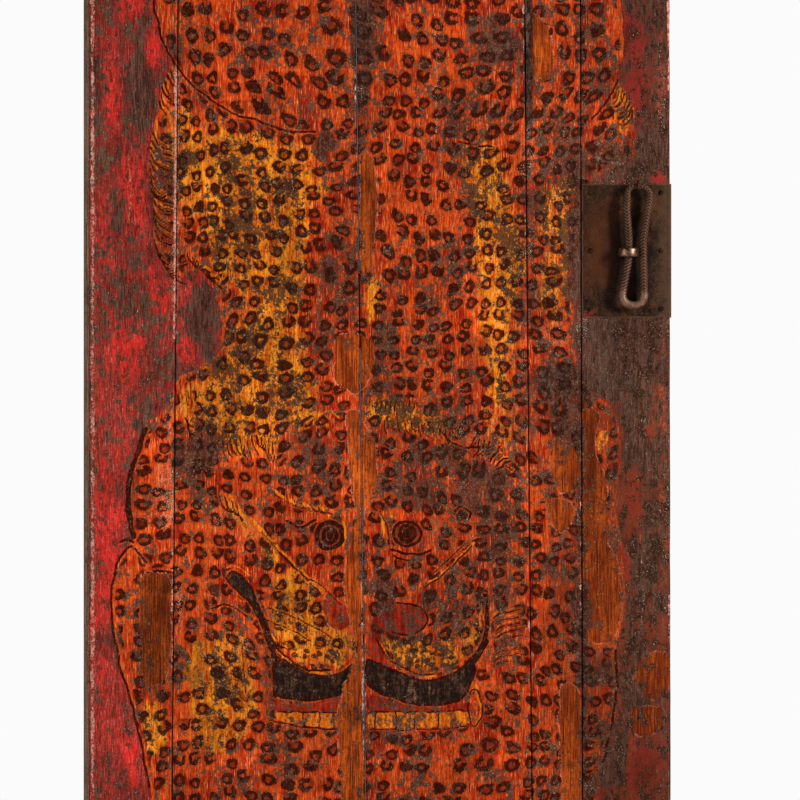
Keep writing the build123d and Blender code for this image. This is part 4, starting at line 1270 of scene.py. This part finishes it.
def bare_timber(name, along, light=(122, 92, 66), deep=(64, 44, 30)):
    """Unpainted, smoke-darkened wood whose grain runs along one axis."""
    wood = Finish(name, Specular_IOR_Level=0.3)
    sizes = {"X": (60, 2.4, 2.0), "Y": (2.2, 60, 2.2)}[along]
    broad_sizes = {"X": (150, 26, 20), "Y": (20, 150, 20)}[along]
    n = Unevenness(
        grain=wood.noise(*sizes, detail=4, rough=0.65, bend=0.5),
        broad=wood.noise(*broad_sizes, detail=3, rough=0.5, lift=5.0),
        fine=wood.noise(1.2, 1.2, 1.2, 2, 0.6, lift=9.0),
    )
    pore = 1 - wood.step(n.grain, 0.27, 0.38)
    colour = wood.over(
        wood.blend(deep, light, wood.step(n.grain + n.sway(broad=0.7), 0.3, 0.68)),
        ((34, 24, 18), pore * 0.7),
        ((44, 34, 28), wood.step(n.broad + n.sway(fine=0.25), 0.50, 0.66) * 0.5),
    )
    wood.use("Base Color", colour)
    wood.use("Roughness", 0.62 + n.sway(fine=0.2) + pore * 0.1)
    wood.bump(n.sway(grain=0.30, fine=0.06), 0.9)
    return wood


def forged_iron(name, rust):
    """Hand-forged iron, brown with age: its material, unevenness and colour."""
    iron = Finish(name, Metallic=0.1, Specular_IOR_Level=0.12)
    n = Unevenness(
        fine=iron.noise(1.4, 1.4, 1.4, 3, 0.6),
        mottle=iron.noise(9, 9, 11, 4, 0.6, lift=4.0),
        broad=iron.noise(40, 40, 46, 2, 0.5, lift=8.0),
    )
    colour = iron.over(
        iron.blend((22, 12, 5), (60, 36, 18), iron.step(n.mottle + n.sway(fine=0.9), 0.26, 0.74)),
        ((98, 48, 20), iron.step(n.mix(broad=0.5, mottle=0.5), 0.5, 0.64) * rust),
        ((118, 94, 74), iron.step(n.fine, 0.62, 0.72) * 0.4),
    )
    return iron, n, colour


def make_plate():
    """The iron plate: a worked copy of the solid, hammered, with a wavy worn outline."""
    mesh_pitch, fold_x = 2.4, 672.5
    cuts_across, cuts_up = (0, 571.5, 674.5), (2, 817.5, 974.5)
    form = merged_copy("pull_plate")
    bmesh.ops.dissolve_limit(form, angle_limit=math.radians(1), verts=form.verts, edges=form.edges)
    for axis, low, high in (cuts_across, cuts_up):
        direction = (1, 0, 0) if axis == 0 else (0, 0, 1)
        for place in np.arange(low, high, mesh_pitch):
            point = [0, 0, 0]
            point[axis] = place * MM
            whole = form.verts[:] + form.edges[:] + form.faces[:]
            bmesh.ops.bisect_plane(form, geom=whole, dist=1e-7, plane_co=point, plane_no=direction)
    bmesh.ops.triangulate(form, faces=[face for face in form.faces if len(face.verts) > 4])
    bmesh.ops.recalc_face_normals(form, faces=form.faces)
    plate = mesh_from(form, "iron_plate")
    x, y, z = (places_of(plate.data) / MM).T
    dents = 0.22 * rough_drift(x, z, 22, 26, 101, 3) + 0.22
    rim = np.minimum.reduce([x - PLATE_LEFT, z - PLATE_BOTTOM, PLATE_TOP - z])
    dents += 0.35 * np.exp(-np.clip(rim, 0, None) / 1.6)
    y = y + np.where((y < PLATE_FRONT + 0.8) & (x < fold_x), dents, 0)
    z = z + np.where(PLATE_TOP - z < 0.5, -0.5 + 0.5 * drift(x, z * 0, 16, 9, 102), 0)
    z = z + np.where(z - PLATE_BOTTOM < 0.5, 0.6 + 0.6 * rough_drift(x, z * 0, 20, 9, 103, 2), 0)
    x = x + np.where(x - PLATE_LEFT < 0.5, 0.5 + 0.4 * drift(z, x * 0, 18, 9, 104), 0)
    place_at(plate, x, y, z)
    soften(plate, 30)
    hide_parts("pull_plate")
    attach(plate, "leaf")
    return plate


def plate_iron():
    """Dark plate, warm and rubbed where a hand pulls the loop, with the loop's shadow painted on it."""
    iron, n, colour = forged_iron("plate_iron", 0.35)
    x, z = iron.mm("X"), iron.mm("Z")
    handled = 1 - iron.step(abs(x - 594.0) + n.sway(mottle=50), 4.0, 30.0)
    handled = handled * iron.step(z + n.sway(broad=60), 830, 880)
    handled = handled * (1 - iron.step(z + n.sway(mottle=40), 920, 975))
    # Painted shadow: the plate darker behind and beside the loop
    loop_shadow = 1 - iron.step(abs(x - 624.0), 12.0, 34.0)
    loop_shadow = loop_shadow * iron.step(960 - z, 0, 40) * (1 - iron.step(840 - z, -20, 20))
    corner = (1 - iron.step(x, 580, 592)) * (1 - iron.step(z, 824, 836)) * iron.step(n.mottle, 0.45, 0.55)
    rim = (x - PLATE_LEFT).below(z - PLATE_BOTTOM).below(PLATE_TOP - z)
    colour = iron.over(
        colour,
        ((84, 40, 16), handled * 0.55),
        ((18, 8, 4), loop_shadow * 0.65),
        ((98, 70, 50), iron.step(x + n.sway(mottle=26), 650, 672) * 0.45),
        ((120, 40, 28), corner * 0.7),
        ((116, 78, 58), (1 - iron.step(rim + n.sway(mottle=5), 0.4, 2.4)) * 0.5),
    )
    iron.use("Base Color", colour)
    iron.use("Roughness", 0.56 + n.sway(mottle=0.3, fine=0.2))
    iron.bump(n.sway(mottle=0.40, fine=0.26), 0.9)
    return iron


def small_iron():
    """Nails, rove and staple."""
    iron, n, colour = forged_iron("small_iron", 0.45)
    iron.use("Base Color", colour)
    iron.use("Roughness", 0.52 + n.sway(mottle=0.3))
    iron.bump(n.sway(mottle=0.12, fine=0.08), 0.9)
    return iron


def unit_of(vector):
    return vector / np.linalg.norm(vector)


def bent_path(corners, bends, step):
    """Evenly spaced places along straight runs joined by round bends."""
    corners = [np.array(corner, float) for corner in corners]
    line = [corners[0]]
    for before, corner, after, bend in zip(corners, corners[1:], corners[2:], bends):
        into, out = unit_of(corner - before), unit_of(after - corner)
        turn = math.atan2(into[0] * out[1] - into[1] * out[0], into @ out)
        setback = bend * math.tan(abs(turn) / 2)
        start = corner - into * setback
        side = math.copysign(1, turn)
        centre = start + side * bend * np.array([-into[1], into[0]])
        first = math.atan2(*(start - centre)[::-1])
        for share in np.linspace(0, 1, 24):
            angle = first + turn * share
            line.append(centre + bend * np.array([math.cos(angle), math.sin(angle)]))
    line.append(corners[-1])
    line = np.array(line)
    run = np.concatenate([[0], np.cumsum(np.hypot(*np.diff(line, axis=0).T))])
    even = np.linspace(0, run[-1], int(run[-1] / step) + 1)
    return np.column_stack([np.interp(even, run, line[:, 0]), np.interp(even, run, line[:, 1])]), even


# The loop's corners, across and up from the eye, and how round each bend is
PULL_CORNERS = [
    (-11.4, -78.9), (-11.4, -86.25), (-21.3, -141.5), (7.4, -141.5), (5.6, -64.3), (15.8, 0),
    (-12.0, 0), (-13.9, -27), (-10.9, -66), (-11.4, -77.9),
]
PULL_BENDS = [12.6, 12.6, 12.6, 30, 10.7, 8.9, 30, 30]
PLAIT_PITCH = 3.8
PLAIT_DEPTH = 0.75
AROUND = 44


def make_loop():
    """The pull: an iron bar plaited from two twisted strands, worn smooth at its foot."""
    path, run = bent_path(PULL_CORNERS, PULL_BENDS, 0.55)
    loop, place, turn = numbered_grid("plaited_loop", len(path) - 1, AROUND)
    ahead = np.gradient(path, axis=0)
    ahead /= np.linalg.norm(ahead, axis=1)[:, None]
    outward_x, outward_z = ahead[place][:, 1], -ahead[place][:, 0]
    (from_eye, height), run = path[place].T, run[place]
    angle = 2 * math.pi * (turn % AROUND) / AROUND
    degrees = np.degrees(angle)
    from_front = np.abs((degrees - 90 + 180) % 360 - 180)

    # Two twisted strands side by side, and one plain twist in the short end below the collar
    plait = np.abs(np.sin(math.pi * (run / PLAIT_PITCH + from_front / 75)))
    lay = np.abs(np.sin(math.pi * (run / PLAIT_PITCH * 0.95 + degrees * 4 / 360)))
    short_end = from_eye < -8
    plain = soft_step(-height, 84, 92) * short_end
    ridge = plait * (1 - plain) + lay * plain
    crease = np.exp(-(from_front / 12) ** 2) + np.exp(-((180 - from_front) / 12) ** 2)
    worn = soft_step(-height, 118, 134)
    depth = PLAIT_DEPTH * (1 - ridge) * (1 - 0.85 * worn) + 0.14 * crease * (1 - worn) * (1 - plain)
    depth += 0.10 * drift(run, degrees, 14, 60, 111) + 0.10

    # Slimmer at the eye and inside the collar
    slim = 0.74 + 0.26 * soft_step(-height, 2, 22)
    in_collar = soft_step(height, -COLLAR_DROP - 7, -COLLAR_DROP - 5.5)
    in_collar = in_collar * (1 - soft_step(height, 5.5 - COLLAR_DROP, 7 - COLLAR_DROP))
    radius = (STRAND_RADIUS - depth) * (slim - 0.10 * in_collar * short_end)
    x = EYE_X + from_eye + radius * np.cos(angle) * outward_x
    z = EYE_Z + height + radius * np.cos(angle) * outward_z
    place_at(loop, x, PULL_Y - radius * np.sin(angle), z)
    write_field(loop, "ridge", np.clip(1 - depth / PLAIT_DEPTH, 0, 1))
    write_field(loop, "worn", worn)
    form = bmesh.new()
    form.from_mesh(loop.data)
    bmesh.ops.remove_doubles(form, verts=form.verts, dist=1e-7)
    close_rims(form)
    bmesh.ops.recalc_face_normals(form, faces=form.faces)
    form.to_mesh(loop.data)
    form.free()
    soften(loop, 60)
    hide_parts("pull_loop")
    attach(loop, "pull")
    return loop


def loop_iron():
    """Plaited iron, dark in its hollows and polished brown on its ridges."""
    iron = Finish("plaited_iron", Metallic=0.35, Specular_IOR_Level=0.3)
    ridge, worn = iron.field("ridge"), iron.field("worn")
    n = Unevenness(fine=iron.noise(1.0, 1.0, 1.0, 3, 0.6), mottle=iron.noise(8, 8, 8, 3, 0.6, lift=4.0))
    colour = iron.over(
        iron.blend((36, 20, 11), (106, 68, 46), iron.step(ridge + n.sway(mottle=0.5), 0.1, 1.0)),
        ((132, 102, 80), worn * iron.step(n.mottle, 0.3, 0.6) * 0.8),
    )
    iron.use("Base Color", colour)
    iron.use("Roughness", 0.54 - worn * 0.08 + n.sway(fine=0.3))
    iron.bump(n.sway(fine=0.08), 0.8)
    return iron


def make_collar():
    """The collar: a turned ring, a little barrelled, with rounded rims."""
    rim_height = 0.46 * COLLAR_HEIGHT
    half_outline = [
        (COLLAR_BORE, rim_height), (COLLAR_BORE + 1.0, 0.5 * COLLAR_HEIGHT),
        (COLLAR_RADIUS - 1.5, 0.5 * COLLAR_HEIGHT), (COLLAR_RADIUS - 0.7, rim_height),
        (COLLAR_RADIUS - 0.15, 0.36 * COLLAR_HEIGHT), (COLLAR_RADIUS, 0.2 * COLLAR_HEIGHT),
    ]
    outline = [(radius, -height) for radius, height in half_outline] + half_outline[::-1]
    form = bmesh.new()
    centre = Vector((EYE_X - COLLAR_LEFT, PULL_Y, EYE_Z - COLLAR_DROP)) * MM
    section = [form.verts.new(centre + Vector((radius, 0, height)) * MM) for radius, height in outline]
    edges = [form.edges.new((a, b)) for a, b in zip(section, section[1:] + section[:1])]
    bmesh.ops.spin(
        form, geom=section + edges, cent=centre, axis=(0, 0, 1), angle=2 * math.pi, steps=72,
        use_merge=True, use_duplicate=False,
    )
    bmesh.ops.remove_doubles(form, verts=form.verts, dist=1e-6)
    bmesh.ops.recalc_face_normals(form, faces=form.faces)
    for vert in form.verts:
        offset = vert.co - centre
        turn = math.degrees(math.atan2(offset.y, offset.x))
        dent = 0.06 * float(drift(turn, offset.z / MM, 24, 5, 121)) + 0.06
        flat = Vector((offset.x, offset.y, 0))
        if flat.length > (COLLAR_BORE + 2) * MM:
            vert.co -= flat.normalized() * dent * MM
    collar = mesh_from(form, "bright_collar")
    soften(collar, 40)
    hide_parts("pull_collar")
    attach(collar, "pull")
    return collar


def collar_metal():
    """Collar rubbed bright by use, brown in its scratches."""
    metal = Finish("rubbed_collar", Metallic=0.95)
    n = Unevenness(fine=metal.noise(1.2, 1.2, 0.5, 3, 0.6), mottle=metal.noise(5, 5, 5, 3, 0.6, lift=4.0))
    rubbed = metal.step(n.mottle + n.sway(fine=0.5), 0.3, 0.7)
    metal.use("Base Color", metal.blend((88, 58, 42), (150, 116, 94), rubbed))
    metal.use("Roughness", 0.40 + n.sway(fine=0.25, mottle=0.2))
    metal.bump(n.sway(fine=0.05), 0.8)
    return metal


def make_staple():
    """The staple's wire, rounded from the solid's faceted wire."""
    form = merged_copy("pull_staple")
    bmesh.ops.join_triangles(
        form, faces=form.faces, angle_face_threshold=math.radians(25), angle_shape_threshold=math.radians(60)
    )
    staple = mesh_from(form, "wire_staple")
    rounding = staple.modifiers.new("rounding", "SUBSURF")
    rounding.levels = rounding.render_levels = 2
    staple.data.shade_smooth()
    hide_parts("pull_staple")
    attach(staple, "leaf")
    return staple


def stand_leaf_on_floor():
    """Pale plain floor just under the lower pivot."""
    middle, half_size = Vector((0.35, -1.6, -0.0455)), 4.0
    form = bmesh.new()
    bmesh.ops.create_grid(form, x_segments=1, y_segments=1, size=half_size)
    bmesh.ops.translate(form, verts=form.verts, vec=middle)
    floor = mesh_from(form, "floor")
    pale = Finish("pale_floor", Specular_IOR_Level=0.2, Roughness=0.8)
    cloud = pale.noise(600, 600, 600, 3, 0.5)
    pale.use("Base Color", pale.blend((226, 225, 222), (234, 233, 231), cloud))
    pale.on(floor)


def light_studio():
    """Even pale surroundings and two soft lights, the right one stronger."""
    strength, strength_in_gloss, strength_in_view = 0.22, 0.05, 0.965
    world = bpy.data.worlds.new("pale_studio")
    bpy.context.scene.world = world
    world.use_nodes = True
    tree = world.node_tree
    rays = tree.nodes.new("ShaderNodeLightPath")
    background = tree.nodes["Background"]
    background.inputs["Color"].default_value = (1, 1, 1, 1)
    gloss, view = tree.nodes.new("ShaderNodeMapRange"), tree.nodes.new("ShaderNodeMapRange")
    gloss.inputs["To Min"].default_value = strength
    gloss.inputs["To Max"].default_value = strength_in_gloss
    view.inputs["To Max"].default_value = strength_in_view
    tree.links.new(rays.outputs["Is Glossy Ray"], gloss.inputs["Value"])
    tree.links.new(rays.outputs["Is Camera Ray"], view.inputs["Value"])
    tree.links.new(gloss.outputs["Result"], view.inputs["To Min"])
    tree.links.new(view.outputs["Result"], background.inputs["Strength"])

    aim, distance = Vector((0.353, -0.019, 0.75)), 3.0
    for name, turn, lift, power, wide, tall in (
        ("right_light", 52, 16, 82, 0.4, 1.3), ("left_light", -50, 8, 27, 0.7, 1.6)
    ):
        light = bpy.data.lights.new(name, "AREA")
        light.shape = "RECTANGLE"
        light.size, light.size_y, light.energy = wide, tall, power
        lamp = bpy.data.objects.new(name, light)
        bpy.context.scene.collection.objects.link(lamp)
        side, rise = math.radians(turn), math.radians(lift)
        back = Vector((math.sin(side) * math.cos(rise), -math.cos(side) * math.cos(rise), math.sin(rise)))
        lamp.location = aim + back * distance
        lamp.rotation_euler = (-back).to_track_quat("-Z", "Y").to_euler()


def set_camera():
    """Camera square to the front, as far off as the photograph's flat view asks."""
    distance, middle_x, middle_z, seen_width = 5.0, 0.3538, 0.718, 0.952
    data = bpy.data.cameras.new("camera")
    data.sensor_width = 36.0
    data.lens = data.sensor_width * (distance + FRONT * MM) / seen_width
    camera = bpy.data.objects.new("camera", data)
    camera.location = (middle_x, -distance, middle_z)
    camera.rotation_euler = (math.radians(90), 0, 0)
    bpy.context.scene.collection.objects.link(camera)
    bpy.context.scene.camera = camera
    bpy.context.scene.view_settings.view_transform = "Standard"


set_camera()
light_studio()
stand_leaf_on_floor()

boards = [make_board(node) for node in FINE]
old_paint().on(*boards)
plate_iron().on(make_plate())
small_iron().on(make_staple(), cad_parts["plate_nails"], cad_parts["staple_rove"])
loop_iron().on(make_loop())
collar_metal().on(make_collar())
battens = [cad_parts[f"batten_{name}"] for name in ("lower", "middle", "upper")]
bare_timber("batten_timber", "X").on(*battens)
dowels = [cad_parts[f"dowels_seam_{seam}"] for seam in (1, 2, 3, 4)]
bare_timber("dowel_timber", "X", (150, 116, 80), (104, 74, 46)).on(*dowels)
bare_timber("peg_timber", "Y", (140, 104, 70), (84, 58, 38)).on(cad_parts["batten_pegs"])
